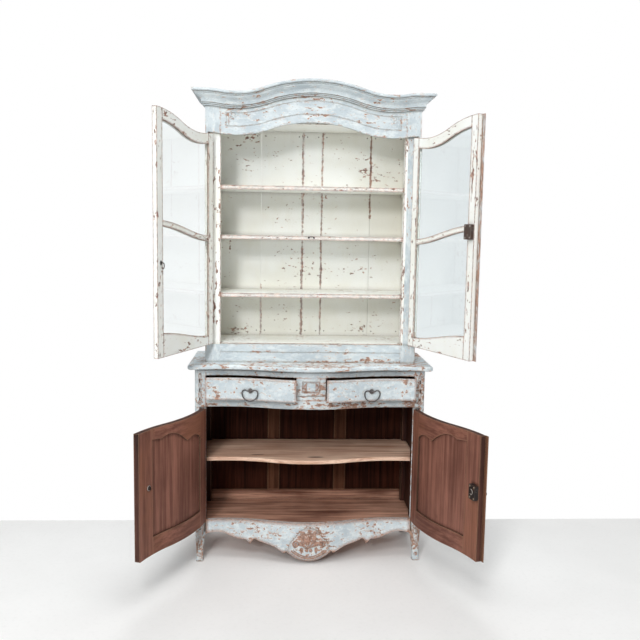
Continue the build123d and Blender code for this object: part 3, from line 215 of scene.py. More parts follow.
class Shader(Nodes):
    # Nodes of one material, with patterns that depend on the place on the part
    def __init__(self, name, turn=0.0):
        self.material = bpy.data.materials.new(name)
        self.material.use_nodes = True
        super().__init__(self.material.node_tree)
        self.shared = {}
        coords = self.node("ShaderNodeTexCoord")
        self.spot = self.place = coords.outputs["Object"]
        self.facing = coords.outputs["Normal"]
        apart = self.node("ShaderNodeSeparateXYZ", {"Vector": self.place})
        self.x, self.y, self.z = apart.outputs
        if turn:
            values = {"Vector": self.place, "Angle": turn}
            self.place = self.node("ShaderNodeVectorRotate", values, rotation_type="Z_AXIS").outputs[0]

    def noise(self, scale, detail=4.0, roughness=0.55, stretch=EVEN, shift=0.0):
        # The shift moves the pattern, so that the noises of one finish differ
        moved = {"Vector": self.place, "Location": (shift,) * 3, "Scale": stretch}
        mapped = self.node("ShaderNodeMapping", moved)
        values = {"Vector": mapped.outputs[0], "Scale": scale, "Detail": detail, "Roughness": roughness}
        return self.node("ShaderNodeTexNoise", values).outputs[0]

    def edges(self, reach):
        # Share of outer edge within reach: 0 on a flat face
        key = ("edges", reach)
        if key not in self.shared:
            values = {"Distance": reach}
            made = self.node("ShaderNodeAmbientOcclusion", values, inside=True, only_local=True, samples=2)
            self.shared[key] = self.less(1.0, made.outputs["AO"])
        return self.shared[key]

    def hollows(self, reach):
        # Share of inner corner within reach: 0 on an open face
        key = ("hollows", reach)
        if key not in self.shared:
            made = self.node("ShaderNodeAmbientOcclusion", {"Distance": reach}, samples=2)
            self.shared[key] = self.less(1.0, made.outputs["AO"])
        return self.shared[key]

    def along(self, direction):
        # How far the surface faces the given direction
        made = self.node("ShaderNodeVectorMath", {0: self.facing, 1: direction}, operation="DOT_PRODUCT")
        return made.outputs["Value"]

    def near(self, centre, reach):
        # 1 at the centre of an ellipsoid, 0 at its surface and beyond
        away = self.node("ShaderNodeVectorMath", {0: self.spot, 1: centre}, operation="SUBTRACT")
        scaled = self.node("ShaderNodeVectorMath", {0: away.outputs[0], 1: reach}, operation="DIVIDE")
        length = self.node("ShaderNodeVectorMath", {0: scaled.outputs[0]}, operation="LENGTH")
        return self.fade(length.outputs["Value"], 1.0, 0.0)

    def add_spots(self, value, zones):
        # Raises a value inside ellipsoids, each given by centre, reach and amount
        for centre, reach, amount in zones:
            value = self.add(value, self.times(self.near(centre, reach), amount))
        return value


# Finishes: each gives colour, roughness and height
def bare_wood(sh):
    return sh.blend(sh.fade(sh.noise(90.0, 5.0, shift=9.0), 0.4, 0.62), TERRACOTTA, BARE_BROWN)


def blue_paint(
    wear=0.0, grain=EVEN, zones=(), edge=0.2, edge_reach=0.007, crease=0.7, crease_reach=0.012
):
    # Pale blue paint: clusters of chips, worn edges and zones, grime and painted shade in the creases
    def finish(sh):
        tone = sh.fade(sh.noise(9.0, 5.0, 0.6), 0.36, 0.64)
        colour = sh.blend(tone, BLUE_DEEP, BLUE)
        brush = sh.noise(46.0, 6.0, 0.65, stretch=grain, shift=3.0)
        colour = sh.blend(sh.times(sh.fade(brush, 0.46, 0.64), 0.75), colour, BLUE_PALE)
        cluster = sh.times(sh.less(sh.noise(6.0, 4.0, shift=1.0), 0.5), 0.5)
        chips = sh.noise(82.0, 7.0, 0.66, stretch=grain, shift=5.0)
        worn = sh.add(sh.add(chips, cluster), sh.add(sh.times(sh.edges(edge_reach), edge), wear))
        worn = sh.add_spots(worn, zones)
        specks = sh.fade(sh.noise(240.0, 4.0, 0.65, stretch=grain, shift=7.0), 0.59, 0.66)
        colour = sh.blend(sh.times(specks, 0.55), colour, BLUE_SPECK)
        bare = sh.fade(worn, *BLUE_BARE)
        colour = sh.blend(sh.times(sh.fade(worn, *BLUE_THIN), 0.8), colour, CHALK)
        colour = sh.blend(sh.times(bare, 0.92), colour, bare_wood(sh))
        # Grime and painted shade darken the creases
        colour = sh.blend(sh.times(sh.fade(sh.hollows(crease_reach), 0.12, 0.6), crease), colour, GRIME_AND_SHADE)
        height = sh.add(sh.less(1.0, bare), sh.times(brush, 0.3))
        return colour, sh.level(bare, 0.52, 0.78), height

    return finish


def carved_paint(wear=0.0):
    # Paint that stays in the hollows of a carving and is rubbed off its ridges; grime and painted shade
    # darken the hollows
    def finish(sh):
        colour, rough, height = blue_paint(wear, edge=0.0)(sh)
        ridges = sh.add(sh.node("ShaderNodeNewGeometry").outputs["Pointiness"], wear)
        rubbed = sh.add(ridges, sh.times(sh.less(sh.noise(52.0, 6.0, 0.66, shift=8.0), 0.5), 0.22))
        # Grime and painted shade in the carved hollows
        colour = sh.blend(sh.times(sh.fade(ridges, 0.49, 0.44), 0.6), colour, GRIME_AND_SHADE)
        colour = sh.blend(sh.times(sh.fade(rubbed, 0.52, 0.56), 0.9), colour, bare_wood(sh))
        return colour, rough, height

    return finish


def cream_paint(wear=0.0, cracks=(), zones=(), edge=0.3, edge_reach=0.005, grain=CHIPS_X):
    # Cream paint, with painted warm shade in deep hollows; a crack has an x, half width, foot, top and
    # amount
    def finish(sh):
        tone = sh.fade(sh.noise(4.0, 3.0), 0.36, 0.7)
        colour = sh.blend(sh.times(tone, 0.6), CREAM, CREAM_DEEP)
        brush = sh.noise(26.0, 5.0, 0.6, stretch=BRUSHED_Z, shift=3.0)
        colour = sh.blend(sh.times(sh.fade(brush, 0.5, 0.75), 0.35), colour, CREAM_DEEP)
        cluster = sh.times(sh.less(sh.noise(5.0, 3.0, shift=1.0), 0.5), 0.4)
        chips = sh.noise(84.0, 5.0, 0.6, stretch=grain, shift=5.0)
        worn = sh.add(sh.add(chips, cluster), sh.add(sh.times(sh.edges(edge_reach), edge), wear))
        for x, half, low, high, amount in cracks:
            wander = sh.times(sh.less(sh.noise(9.0, 2.0, shift=x), 0.5), CRACK_WANDER)
            aside = sh.math("ABSOLUTE", sh.less(sh.add(sh.x, wander), x))
            span = sh.times(sh.fade(sh.z, low - CRACK_SOFT, low), sh.fade(sh.z, high + CRACK_SOFT, high))
            line = sh.times(sh.fade(aside, half, half * CRACK_CORE), span)
            worn = sh.add(worn, sh.times(line, amount))
        worn = sh.add_spots(worn, zones)
        bare = sh.fade(worn, *CREAM_BARE)
        wood = sh.blend(sh.fade(sh.noise(60.0, 4.0, shift=9.0), 0.42, 0.62), CHIP_BROWN, CHIP_PINK)
        colour = sh.blend(sh.times(sh.fade(worn, *CREAM_THIN), 0.3), colour, CREAM_DEEP)
        colour = sh.blend(sh.times(bare, 0.95), colour, wood)
        # Painted warm shade: the cream yellows in deep hollows near shelves, sides and ceiling
        colour = sh.blend(sh.times(sh.fade(sh.hollows(0.2), 0.5, 1.0), 0.6), colour, CREAM_PAINTED_SHADE)
        # Grime and painted shade darken the inner corners
        colour = sh.blend(sh.times(sh.fade(sh.hollows(0.02), 0.2, 0.9), 0.6), colour, GRIME_AND_SHADE)
        height = sh.add(sh.less(1.0, bare), sh.times(brush, 0.25))
        return colour, sh.level(bare, 0.5, 0.8), height

    return finish


def stained_wood(light, dark, grain=GRAIN_Z, rough=0.58, warm=0.0, dirt_and_shade=0.6, knots=()):
    # Bands and pores along the grain, edges rubbed pale, dirt and painted shade in the corners
    def finish(sh):
        bands = sh.noise(52.0, 7.0, 0.66, stretch=grain, shift=2.0)
        pores = sh.noise(190.0, 5.0, 0.65, stretch=grain, shift=6.0)
        cloud = sh.noise(3.0, 4.0, 0.55, shift=4.0)
        share = sh.add(sh.times(bands, 0.68), sh.times(cloud, 0.32))
        colour = sh.blend(sh.fade(share, 0.35, 0.65), dark, light)
        colour = sh.blend(sh.times(sh.fade(cloud, 0.46, 0.66), warm), colour, STAIN_WARM)
        colour = sh.blend(sh.times(sh.fade(pores, 0.5, 0.68), 0.5), colour, dark)
        for centre, reach in knots:
            core = sh.add(sh.near(centre, reach), sh.times(sh.less(bands, 0.5), 0.5))
            colour = sh.blend(sh.times(sh.fade(core, 0.12, 0.5), 0.85), colour, BACK_DARK)
        rubbed = sh.fade(sh.add(sh.times(sh.edges(0.005), 0.55), sh.times(bands, 0.5)), 0.34, 0.5)
        colour = sh.blend(sh.times(rubbed, 0.45), colour, RAW_LIGHT)
        # Dirt and painted shade darken the corners
        colour = sh.blend(sh.times(sh.fade(sh.hollows(0.016), 0.12, 0.7), dirt_and_shade), colour, BACK_DARK)
        height = sh.add(sh.times(bands, 0.5), sh.times(pores, 0.5))
        return colour, sh.level(pores, rough - 0.08, rough + 0.16), height

    return finish


def iron_finish(base, rubbed):
    def finish(sh):
        mottle = sh.noise(120.0, 5.0, 0.6)
        rusty = sh.fade(sh.noise(45.0, 6.0, 0.65, shift=3.0), 0.5, 0.66)
        colour = sh.blend(sh.times(rusty, 0.55), base, RUST)
        colour = sh.blend(sh.times(sh.fade(sh.edges(0.0025), 0.25, 0.6), 0.7), colour, rubbed)
        return colour, sh.level(mottle, 0.34, 0.62), mottle

    return finish


# Masks: 1 where a layer shows; the pairs are heights and places where it fades in
HEIGHT_SOFT = 0.01
DEPTH_SOFT = 0.002
PLANK_SOFT = 0.001
SEAM_HALF = 0.003
SEAM_CORE = 0.4
BASE_INSIDE_FOOT = (0.18, 0.2)
BASE_INSIDE_TOP = (0.905, 0.9)
REAR_FOOT_TOP = (0.14, 0.16)
REBATE_LEFT = (-0.466, -0.464)
REBATE_RIGHT = (0.431, 0.429)
REBATE_FRONT = (0.12, 0.124)


def facing(direction, low=0.3, high=0.45):
    return lambda sh: sh.fade(sh.along(direction), low, high)


def outwards(sh):
    # How far a face looks away from the middle of the cabinet
    return sh.times(sh.along(RIGHT), sh.math("SIGN", sh.x))


def facing_inwards(sh):
    # Faces of the left and right pieces that look towards the middle, and backs
    inner = sh.fade(outwards(sh), -0.3, -0.45)
    return sh.math("MAXIMUM", inner, sh.fade(sh.along(BACK), 0.45, 0.6))


def both(first, second):
    return lambda sh: sh.times(first(sh), second(sh))


def below(height):
    return lambda sh: sh.fade(sh.z, height + HEIGHT_SOFT, height - HEIGHT_SOFT)


def above(height):
    return lambda sh: sh.fade(sh.z, height - HEIGHT_SOFT, height + HEIGHT_SOFT)


def behind(depth):
    return lambda sh: sh.fade(sh.y, depth - DEPTH_SOFT, depth + DEPTH_SOFT)


def between(low, high):
    return lambda sh: sh.times(
        sh.fade(sh.x, low - PLANK_SOFT, low), sh.fade(sh.x, high, high - PLANK_SOFT))


def at_seams(places):
    # Narrow upright lines where two boards meet
    def mask(sh):
        share = 0.0
        for place in places:
            aside = sh.math("ABSOLUTE", sh.less(sh.x, place))
            share = sh.math("MAXIMUM", share, sh.fade(aside, SEAM_HALF, SEAM_HALF * SEAM_CORE))
        return share

    return mask


def inside_base(sh):
    # Inner and rear faces of a corner post, between the apron and the counter
    inner = sh.math("MAXIMUM", facing_inwards(sh), sh.fade(sh.along(BACK), 0.3, 0.45))
    return sh.times(inner, sh.times(sh.fade(sh.z, *BASE_INSIDE_FOOT), sh.fade(sh.z, *BASE_INSIDE_TOP)))


def not_outwards(sh):
    # All but the outer face of a rear leg, above its foot
    return sh.times(sh.fade(outwards(sh), 0.5, 0.3), sh.fade(sh.z, *REAR_FOOT_TOP))


def in_rebate(sh):
    # The step that the closed upper doors lie in: more of it is cream on the left
    across = sh.times(sh.fade(sh.x, *REBATE_LEFT), sh.fade(sh.x, *REBATE_RIGHT))
    return sh.times(across, sh.fade(sh.y, *REBATE_FRONT))


def door_edge(outer):
    # Edges of a door: neither its inner nor its outer face
    return lambda sh: sh.fade(sh.math("ABSOLUTE", sh.along(outer)), 0.5, 0.35)


def make_material(name, base, *layers, turn=0.0, bump=0.45, metal=0.0, gloss=0.3):
    # A layer is a finish and the mask that tells where it covers the finish under it
    sh = Shader(name, turn)
    colour, rough, height = base(sh)
    for finish, mask in layers:
        over_colour, over_rough, over_height = finish(sh)
        share = mask(sh)
        colour = sh.blend(share, colour, over_colour)
        rough = sh.level(share, rough, over_rough)
        height = sh.level(share, height, over_height)
    raised = sh.node("ShaderNodeBump", {"Strength": bump, "Distance": BUMP_DEPTH, "Height": height})
    values = {
        "Base Color": colour,
        "Metallic": metal,
        "Roughness": rough,
        "Specular IOR Level": gloss,
        "Normal": raised.outputs[0],
    }
    sh.show(sh.node("ShaderNodeBsdfPrincipled", values).outputs[0])
    return sh.material


def make_glass(name, tint):
    # Clear old glass that lets lamp light through
    sh = Shader(name)
    wave = sh.noise(9.0, 2.0)
    waves = {"Strength": GLASS_WAVE, "Distance": GLASS_WAVE_DEPTH, "Height": wave}
    raised = sh.node("ShaderNodeBump", waves)
    values = {
        "Base Color": tint,
        "Roughness": GLASS_ROUGHNESS,
        "IOR": GLASS_INDEX,
        "Transmission Weight": 1.0,
        "Normal": raised.outputs[0],
    }
    pane = sh.node("ShaderNodeBsdfPrincipled", values)
    clear = sh.node("ShaderNodeBsdfTransparent", {"Color": tint})
    path = sh.node("ShaderNodeLightPath")
    chosen = {0: path.outputs["Is Shadow Ray"], 1: pane.outputs[0], 2: clear.outputs[0]}
    sh.show(sh.node("ShaderNodeMixShader", chosen).outputs[0])
    return sh.material


def closed_to_open(joint_name):
    # Takes a place on the closed door to the open position at rest
    joint = joints[joint_name]
    pivot = Vector(joint["pos_m"])
    turn = Matrix.Rotation(radians(-joint["range_deg"][0]), 4, Vector(joint["axis"]))
    return Matrix.Translation(pivot) @ turn @ Matrix.Translation(-pivot)


def opened(joint_name, place):
    # A place on a closed door, moved along with the door to rest
    return tuple(closed_to_open(joint_name) @ Vector(place))


def outer_face(joint_name):
    # Which way the outer face of an open door looks
    return tuple(closed_to_open(joint_name).to_3x3() @ Vector(FRONT))


# Edges of the back planks from left to right, and cracks: an amount below 0 keeps the paint on
PLANK_EDGES = (-0.46, -0.24, -0.038, 0.056, 0.294, 0.46)
PLANK_CRACKS = (
    (-0.240, 0.007, 1.02, 1.26, 0.24),
    (-0.240, 0.012, 1.28, 2.0, -0.3),
    (-0.038, 0.009, 1.02, 2.0, 0.24),
    (0.056, 0.008, 1.02, 2.0, 0.22),
    (0.294, 0.009, 1.6, 2.0, 0.24),
    (0.294, 0.012, 1.02, 1.58, -0.3),
    (-0.395, 0.005, 1.3, 1.5, 0.16),
)
# Zones of more wear: centre, reach along each axis and amount
PLANK_ZONES = (
    ((0.14, 0.42, 1.34), (0.26, 0.1, 0.06), 0.09),
    ((-0.33, 0.42, 1.04), (0.16, 0.1, 0.035), 0.16),
    ((0.2, 0.42, 1.05), (0.2, 0.1, 0.03), 0.1),
    ((0.33, 0.42, 1.8), (0.14, 0.1, 0.2), 0.05),
    ((-0.25, 0.42, 1.98), (0.2, 0.1, 0.03), 0.1),
)
APRON_ZONES = (
    ((0.0, 0.0, 0.12), (0.2, 0.12, 0.11), 0.15),
    ((-0.16, 0.03, 0.13), (0.08, 0.12, 0.06), 0.08),
)
LEG_ZONES = (
    ((0.505, 0.1, 0.1), (0.06, 0.3, 0.12), 0.13),
    ((-0.505, 0.1, 0.1), (0.06, 0.3, 0.12), 0.13),
    ((0.51, 0.1, 0.82), (0.06, 0.2, 0.12), 0.12),
)
PLINTH_ZONES = (
    ((0.3, 0.1, 0.94), (0.2, 0.1, 0.03), 0.2),
    ((-0.2, 0.1, 0.975), (0.2, 0.1, 0.012), 0.12),
    ((0.0, 0.1, 0.93), (0.5, 0.1, 0.015), 0.1),
)
shelf_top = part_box("base_shelf")[1].z
# Knots: centre and reach along each axis
SHELF_KNOTS = (
    ((0.03, 0.1, shelf_top), (0.06, 0.012, 0.03)),
    ((-0.24, 0.14, shelf_top), (0.05, 0.007, 0.03)),
)
# Knots of the lower door panels and worn spots of the upper doors, placed on the closed doors
PANEL_KNOTS = {
    "left": (((-0.17, 0.08, 0.33), (0.022, 0.03, 0.03)), ((-0.24, 0.08, 0.28), (0.03, 0.03, 0.05))),
    "right": (((0.26, 0.08, 0.3), (0.02, 0.03, 0.03)), ((0.14, 0.08, 0.6), (0.015, 0.03, 0.025))),
}
DOOR_SPOTS = {
    "left": (
        ((-0.012, 0.125, 1.59), (0.03, 0.03, 0.04), 0.2),
        ((-0.2, 0.13, 1.02), (0.12, 0.05, 0.012), 0.12),
        ((-0.42, 0.13, 1.08), (0.03, 0.03, 0.03), 0.1),
        ((-0.44, 0.13, 1.5), (0.012, 0.012, 0.02), 0.2),
    ),
    "right": (
        ((0.36, 0.125, 1.865), (0.06, 0.04, 0.02), 0.28),
        ((0.03, 0.132, 1.76), (0.005, 0.01, 0.2), 0.22),
        ((0.03, 0.132, 1.3), (0.006, 0.01, 0.25), 0.18),
        ((0.2, 0.13, 1.02), (0.15, 0.05, 0.012), 0.12),
    ),
}
DOOR_ZONES = {
    side: [(opened(f"upper_{side}_door_hinge", place), reach, amount) for place, reach, amount in spots]
    for side, spots in DOOR_SPOTS.items()
}
DOOR_KNOTS = {
    side: [(opened(f"lower_{side}_door_hinge", place), reach) for place, reach in knots]
    for side, knots in PANEL_KNOTS.items()
}
DRAWER_ZONES = (
    ((-0.06, 0.0, 0.84), (0.05, 0.2, 0.07), 0.13),
    ((-0.42, 0.0, 0.8), (0.03, 0.2, 0.05), 0.1),
    ((0.42, 0.0, 0.85), (0.06, 0.2, 0.05), 0.13),
    ((0.07, 0.0, 0.86), (0.04, 0.2, 0.03), 0.12),
)
FRIEZE_ZONES = (
    ((-0.36, 0.1, 2.05), (0.05, 0.1, 0.05), 0.1),
    ((0.38, 0.1, 2.03), (0.05, 0.1, 0.05), 0.12),
    ((0.0, 0.1, 2.12), (0.2, 0.1, 0.018), 0.12),
    ((0.0, 0.1, 2.05), (0.12, 0.1, 0.012), 0.12),
)

stain = stained_wood(STAIN_LIGHT, STAIN_DARK)
raw = stained_wood(RAW_LIGHT, RAW_DARK, rough=0.75)
pale_raw = stained_wood(RAW_PALE, RAW_DARK, rough=0.75)
# Near-black wood: dark stain with painted shade inside the base, also used at the plank seams
dark_back = stained_wood(BACK_LIGHT, BACK_DARK)
dark_frame = stained_wood(BACK_FRAME, BACK_FRAME_DARK)
worn_board_painted_light = stained_wood(FLOOR_LIGHT, FLOOR_DARK, GRAIN_X)
raw_board = stained_wood(RAW_LIGHT, RAW_DARK, GRAIN_Y)
backwards = facing(BACK)
upwards = facing(UP)

# Slopes at which a face counts as level, and heights and depths where one finish ends
NEARLY_LEVEL = (0.8, 0.9)
QUITE_LEVEL = (0.9, 0.97)
BASE_TOP_Z = 0.95
BLOCK_BACK_Y = 0.05
back_rail_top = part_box("base_back_panels")[0].z
over_ceiling = above(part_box("hutch_ceiling")[1].z)


def iron_material(name, base, rubbed, metal):
    return make_material(name, iron_finish(base, rubbed), bump=IRON_BUMP, metal=metal)


iron = iron_material("iron", IRON, IRON_RUBBED, metal=0.55)
dull_iron = iron_material("dull_iron", DULL_IRON, DULL_IRON_RUBBED, metal=0.4)
pull_iron = iron_material("pull_iron", PULL_IRON, PULL_IRON_RUBBED, metal=0.5)
pale_iron = iron_material("pale_iron", PALE_IRON, PALE_IRON_RUBBED, metal=0.5)
brass = iron_material("worn_brass", BRASS, BRASS_RUBBED, metal=0.5)
cream_shelf = make_material("cream_shelf", cream_paint(0.06, edge=0.7, edge_reach=0.012))
back_planks = make_material(
    "cream_planks",
    cream_paint(0.022, PLANK_CRACKS, PLANK_ZONES),
    (raw, backwards),
    (pale_raw, both(backwards, between(*PLANK_EDGES[1:3]))),
    (pale_raw, both(backwards, between(*PLANK_EDGES[4:6]))),
    (dark_back, both(backwards, at_seams(PLANK_EDGES[1:-1]))),
)
chipped_cream = cream_paint(0.12, edge=0.6, grain=CHIPS_Z)
bare_inside = (raw, both(facing_inwards, over_ceiling))
hutch_side = make_material(
    "hutch_side", blue_paint(-0.03, ALONG_Z), (chipped_cream, facing_inwards), bare_inside)
hutch_post = make_material(
    "hutch_post",
    blue_paint(-0.01, ALONG_Z),
    (chipped_cream, facing_inwards),
    (chipped_cream, in_rebate),
    bare_inside,
)
base_side = make_material("base_side", blue_paint(-0.01, ALONG_Z), (dark_back, facing_inwards))
ceiling = make_material("ceiling", cream_paint(), (raw, upwards))
# The cornice's narrow, strong crease darkening paints the shadow lines under its fillets, with some grime
cornice = make_material(
    "cornice",
    blue_paint(-0.01, ALONG_X, edge=0.12, crease=0.95, crease_reach=0.005),
    (raw, facing(UP, *QUITE_LEVEL)),
    (raw, backwards),
)
frieze = make_material(
    "frieze",
    blue_paint(-0.02, ALONG_X, FRIEZE_ZONES),
    (cream_paint(), backwards),
    (raw, both(backwards, over_ceiling)),
)
plinth = make_material("plinth", blue_paint(0.0, ALONG_X, PLINTH_ZONES), (stain, backwards))
counter = make_material(
    "counter",
    blue_paint(0.03, ALONG_X, edge=0.1, crease=0.4),
    (blue_paint(0.11, ALONG_X, edge=0.1, crease=0.4), facing(UP, *NEARLY_LEVEL)),
    (stain, facing(DOWN, *NEARLY_LEVEL)),
)
top_rail = make_material("top_rail", blue_paint(0.02, ALONG_X), (stain, backwards))
low_rail = make_material("low_rail", blue_paint(0.1, ALONG_X), (stain, backwards))
worn_drawer = blue_paint(0.015, A_LITTLE_ALONG_X, DRAWER_ZONES, edge=0.5, edge_reach=0.012)
drawer_front = make_material("drawer_front", worn_drawer, (stain, backwards))
divider = make_material("divider", blue_paint(0.06, ALONG_X), (stain, behind(BLOCK_BACK_Y)))
worn_apron = blue_paint(0.035, A_LITTLE_ALONG_X, APRON_ZONES, edge=0.9, edge_reach=0.018)
apron = make_material("apron", worn_apron, (stain, backwards))
legs = make_material("legs", blue_paint(0.05, zones=LEG_ZONES), (dark_back, inside_base))
rear_legs = make_material("rear_legs", blue_paint(0.0), (dark_back, not_outwards), (raw, backwards))
# The shelf and floor boards are painted paler, as light on their tops
base_shelf = make_material("base_shelf", stained_wood(SHELF_LIGHT, SHELF_DARK, GRAIN_X, knots=SHELF_KNOTS))
base_floor = make_material("base_floor", worn_board_painted_light)
base_panels = make_material("base_panels", dark_back, (raw, backwards), gloss=0.08)
base_frame = make_material(
    "base_frame", dark_frame, (worn_board_painted_light, below(back_rail_top)), (raw, backwards), gloss=0.08)
runners = make_material("runners", raw_board)
drawer_box = make_material("drawer_box", raw_board)
cleats = make_material(
    "cleats", cream_paint(), (stained_wood(STAIN_LIGHT, STAIN_DARK, GRAIN_Y), below(BASE_TOP_Z)))
upper_bead = make_material("upper_bead", blue_paint(0.05, WELL_ALONG_Z))
lower_bead = make_material("lower_bead", stained_wood(STAIN_WARM, STAIN_DARK))
glass_left = make_glass("glass_left", GLASS_LEFT)
# The right panes are tinted greyer as painted shade and reflection
glass_right = make_glass("glass_right", GLASS_RIGHT_SHADED)


def door_material(name, joint_name, inner, wear, *layers):
    # Inner finish all over, then the layers, then blue paint on the outer face
    joint = joints[joint_name]
    turn = radians(joint["range_deg"][0]) * joint["axis"][2]
    outside = (blue_paint(wear, ALONG_Z), facing(outer_face(joint_name)))
    return make_material(name, inner, *layers, outside, turn=turn)


# Finish and slot of every node
FINISHES = {
    "apron": (apron, "painted_wood"),
    "base_back_frame": (base_frame, "stained_wood"),
    "base_back_panels": (base_panels, "stained_wood"),
    "base_floor": (base_floor, "stained_wood"),
    "base_shelf": (base_shelf, "stained_wood"),
    "base_sides": (base_side, "painted_wood"),
    "cornice": (cornice, "painted_wood"),
    "counter_top": (counter, "painted_wood"),
    "drawer_bottom_rail": (low_rail, "painted_wood"),
    "drawer_divider": (divider, "painted_wood"),
    "drawer_runners": (runners, "stained_wood"),
    "drawer_top_rail": (top_rail, "painted_wood"),
    "frame_hinges": (iron, "iron"),
    "frieze_board": (frieze, "painted_wood"),
    "front_legs": (legs, "painted_wood"),
    "hutch_back_planks": (back_planks, "cream_wood"),
    "hutch_ceiling": (ceiling, "cream_wood"),
    "hutch_floor": (cream_shelf, "cream_wood"),
    "hutch_plinth_rail": (plinth, "painted_wood"),
    "hutch_posts": (hutch_post, "painted_wood"),
    "hutch_shelves": (cream_shelf, "cream_wood"),
    "hutch_sides": (hutch_side, "painted_wood"),
    "rear_legs": (rear_legs, "painted_wood"),
    "shelf_cleats": (cleats, "cream_wood"),
    "lower_left_door_stud": (iron, "iron"),
    "upper_right_door_bead": (upper_bead, "painted_wood"),
    "lower_right_door_bead": (lower_bead, "stained_wood"),
}
for level, metal in (("upper", dull_iron), ("lower", iron)):
    for name in (f"{level}_right_door_lock", f"{level}_lock_bolt", f"{level}_key"):
        FINISHES[name] = (metal, "iron")
DOOR_GRAINS = (("stiles", GRAIN_Z), ("rails", GRAIN_X), ("muntin", GRAIN_X), ("panel", GRAIN_Z))
CHIP_STRETCH = 0.4
for side, panes in (("left", glass_left), ("right", glass_right)):
    upper_joint, lower_joint = f"upper_{side}_door_hinge", f"lower_{side}_door_hinge"
    worn_edge = (stained_wood(STAIN_DARK, BACK_DARK), door_edge(outer_face(lower_joint)))
    for piece, grain in DOOR_GRAINS:
        chip_grain = tuple(max(CHIP_STRETCH, share) for share in grain)
        chipped = cream_paint(0.075, zones=DOOR_ZONES[side], edge=0.9, grain=chip_grain)
        warm, knots = (0.0, DOOR_KNOTS[side]) if piece == "panel" else (0.5, ())
        # Strong corner darkening on the doors paints the shadow lines round their panels, with dirt
        wood = stained_wood(STAIN_LIGHT, STAIN_DARK, grain, warm=warm, dirt_and_shade=0.85, knots=knots)
        if piece != "panel":
            upper = door_material(f"upper_{side}_{piece}", upper_joint, chipped, 0.01)
            FINISHES[f"upper_{side}_door_{piece}"] = (upper, "cream_wood")
        if piece != "muntin":
            lower = door_material(f"lower_{side}_{piece}", lower_joint, wood, 0.03, worn_edge)
            FINISHES[f"lower_{side}_door_{piece}"] = (lower, "stained_wood")
    FINISHES[f"upper_{side}_door_panes"] = (panes, "glass")
    FINISHES[f"{side}_drawer_front"] = (drawer_front, "painted_wood")
    FINISHES[f"{side}_drawer_box"] = (drawer_box, "stained_wood")
    for level in ("upper", "lower"):
        FINISHES[f"{level}_{side}_door_hinges"] = (iron, "iron")
    for piece in ("post", "ring"):
        FINISHES[f"{side}_pull_{piece}"] = (pull_iron, "iron")
for name, (finish, slot) in FINISHES.items():
    nodes[name].data.materials.clear()
    nodes[name].data.materials.append(finish)


# Carving and small hardware
SIDES = (("left", -1), ("right", 1))
RAY_START_Y = -1.0
CARVED_SINK = 0.0006
CARVED_STEP = 0.0015
FINE_STEP = 0.001


def add_piece(name, mesh, body, finish):
    piece = bpy.data.objects.new(name, mesh)
    scene.collection.objects.link(piece)
    mesh.materials.append(finish)
    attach(piece, body)


def make_mesh(name, points, faces):
    mesh = bpy.data.meshes.new(name)
    mesh.from_pydata(points, [], faces)
    mesh.shade_smooth()
    return mesh


def surface_of(node):
    mesh = nodes[node].data
    return BVHTree.FromPolygons([v.co for v in mesh.vertices], [p.vertices for p in mesh.polygons])


def front_of(tree, x, z):
    # Where a ray from the front first meets the surface
    return tree.ray_cast(Vector((x, RAY_START_Y, z)), Vector(BACK))[0]


def carve(name, carrier, x_span, z_span, height, finish, step=CARVED_STEP):
    # Relief laid on the front of a node; height tells how far it stands out at x, z
    tree = surface_of(carrier)
    columns = round((x_span[1] - x_span[0]) / step) + 1
    rows = round((z_span[1] - z_span[0]) / step) + 1
    points, faces, index = [], [], {}
    for i in range(columns):
        for j in range(rows):
            x, z = x_span[0] + i * step, z_span[0] + j * step
            hit = front_of(tree, x, z)
            if hit:
                out = height(x, z)
                index[i, j] = (len(points), out)
                proud = out if out > 0 else -CARVED_SINK
                points.append((x, hit.y - proud, z))
    for i, j in index:
        corners = [index.get(c) for c in ((i, j), (i + 1, j), (i + 1, j + 1), (i, j + 1))]
        if all(corners) and max(out for _, out in corners) > 0:
            faces.append([number for number, _ in corners])
    used = sorted({number for face in faces for number in face})
    renumbered = {number: k for k, number in enumerate(used)}
    kept_points = [points[number] for number in used]
    kept_faces = [[renumbered[number] for number in face] for face in faces]
    add_piece(name, make_mesh(name, kept_points, kept_faces), "cabinet", finish)


def ridge(distance, half_width, rise):
    # Rounded ridge: full height at distance 0, none past its half width
    return rise * max(0.0, 1 - (distance / half_width) ** 2)


# A volute's eye and spiral, as shares of its pitch, its rise and a turn
EYE_R = 0.62
EYE_RISE = 1.15
SPIRAL_START = 0.3
SPIRAL_HALF = 0.4


def volute(x, z, centre, radius, turns, way, rise):
    # Spiral ridge that winds out from its eye
    across, up = (x - centre[0]) * way, z - centre[1]
    away = hypot(across, up)
    pitch = radius / turns
    angle = atan2(up, across) / (2 * pi) % 1.0
    lap = round(away / pitch - angle)
    along = lap + angle
    eye = ridge(away, pitch * EYE_R, rise * EYE_RISE)
    if not SPIRAL_START <= along <= turns:
        return eye
    return max(eye, ridge(away - pitch * along, pitch * SPIRAL_HALF, rise))


# A leaf's outline and veins
LEAF_POWER = 0.6
LEAF_TIP = 0.04
VEIN_DEPTH = 0.28
VEIN_WAVES = 2.5


def drop(x, z, top, length, half_width, rise):
    # Pointed leaf that hangs from its top point
    share = (top[1] - z) / length
    if not 0 < share < 1:
        return 0.0
    half = half_width * (sin(pi * share**LEAF_POWER) + LEAF_TIP)
    vein = 1 - VEIN_DEPTH + VEIN_DEPTH * abs(sin(VEIN_WAVES * pi * (x - top[0]) / half_width))
    return ridge(x - top[0], half, rise) * vein


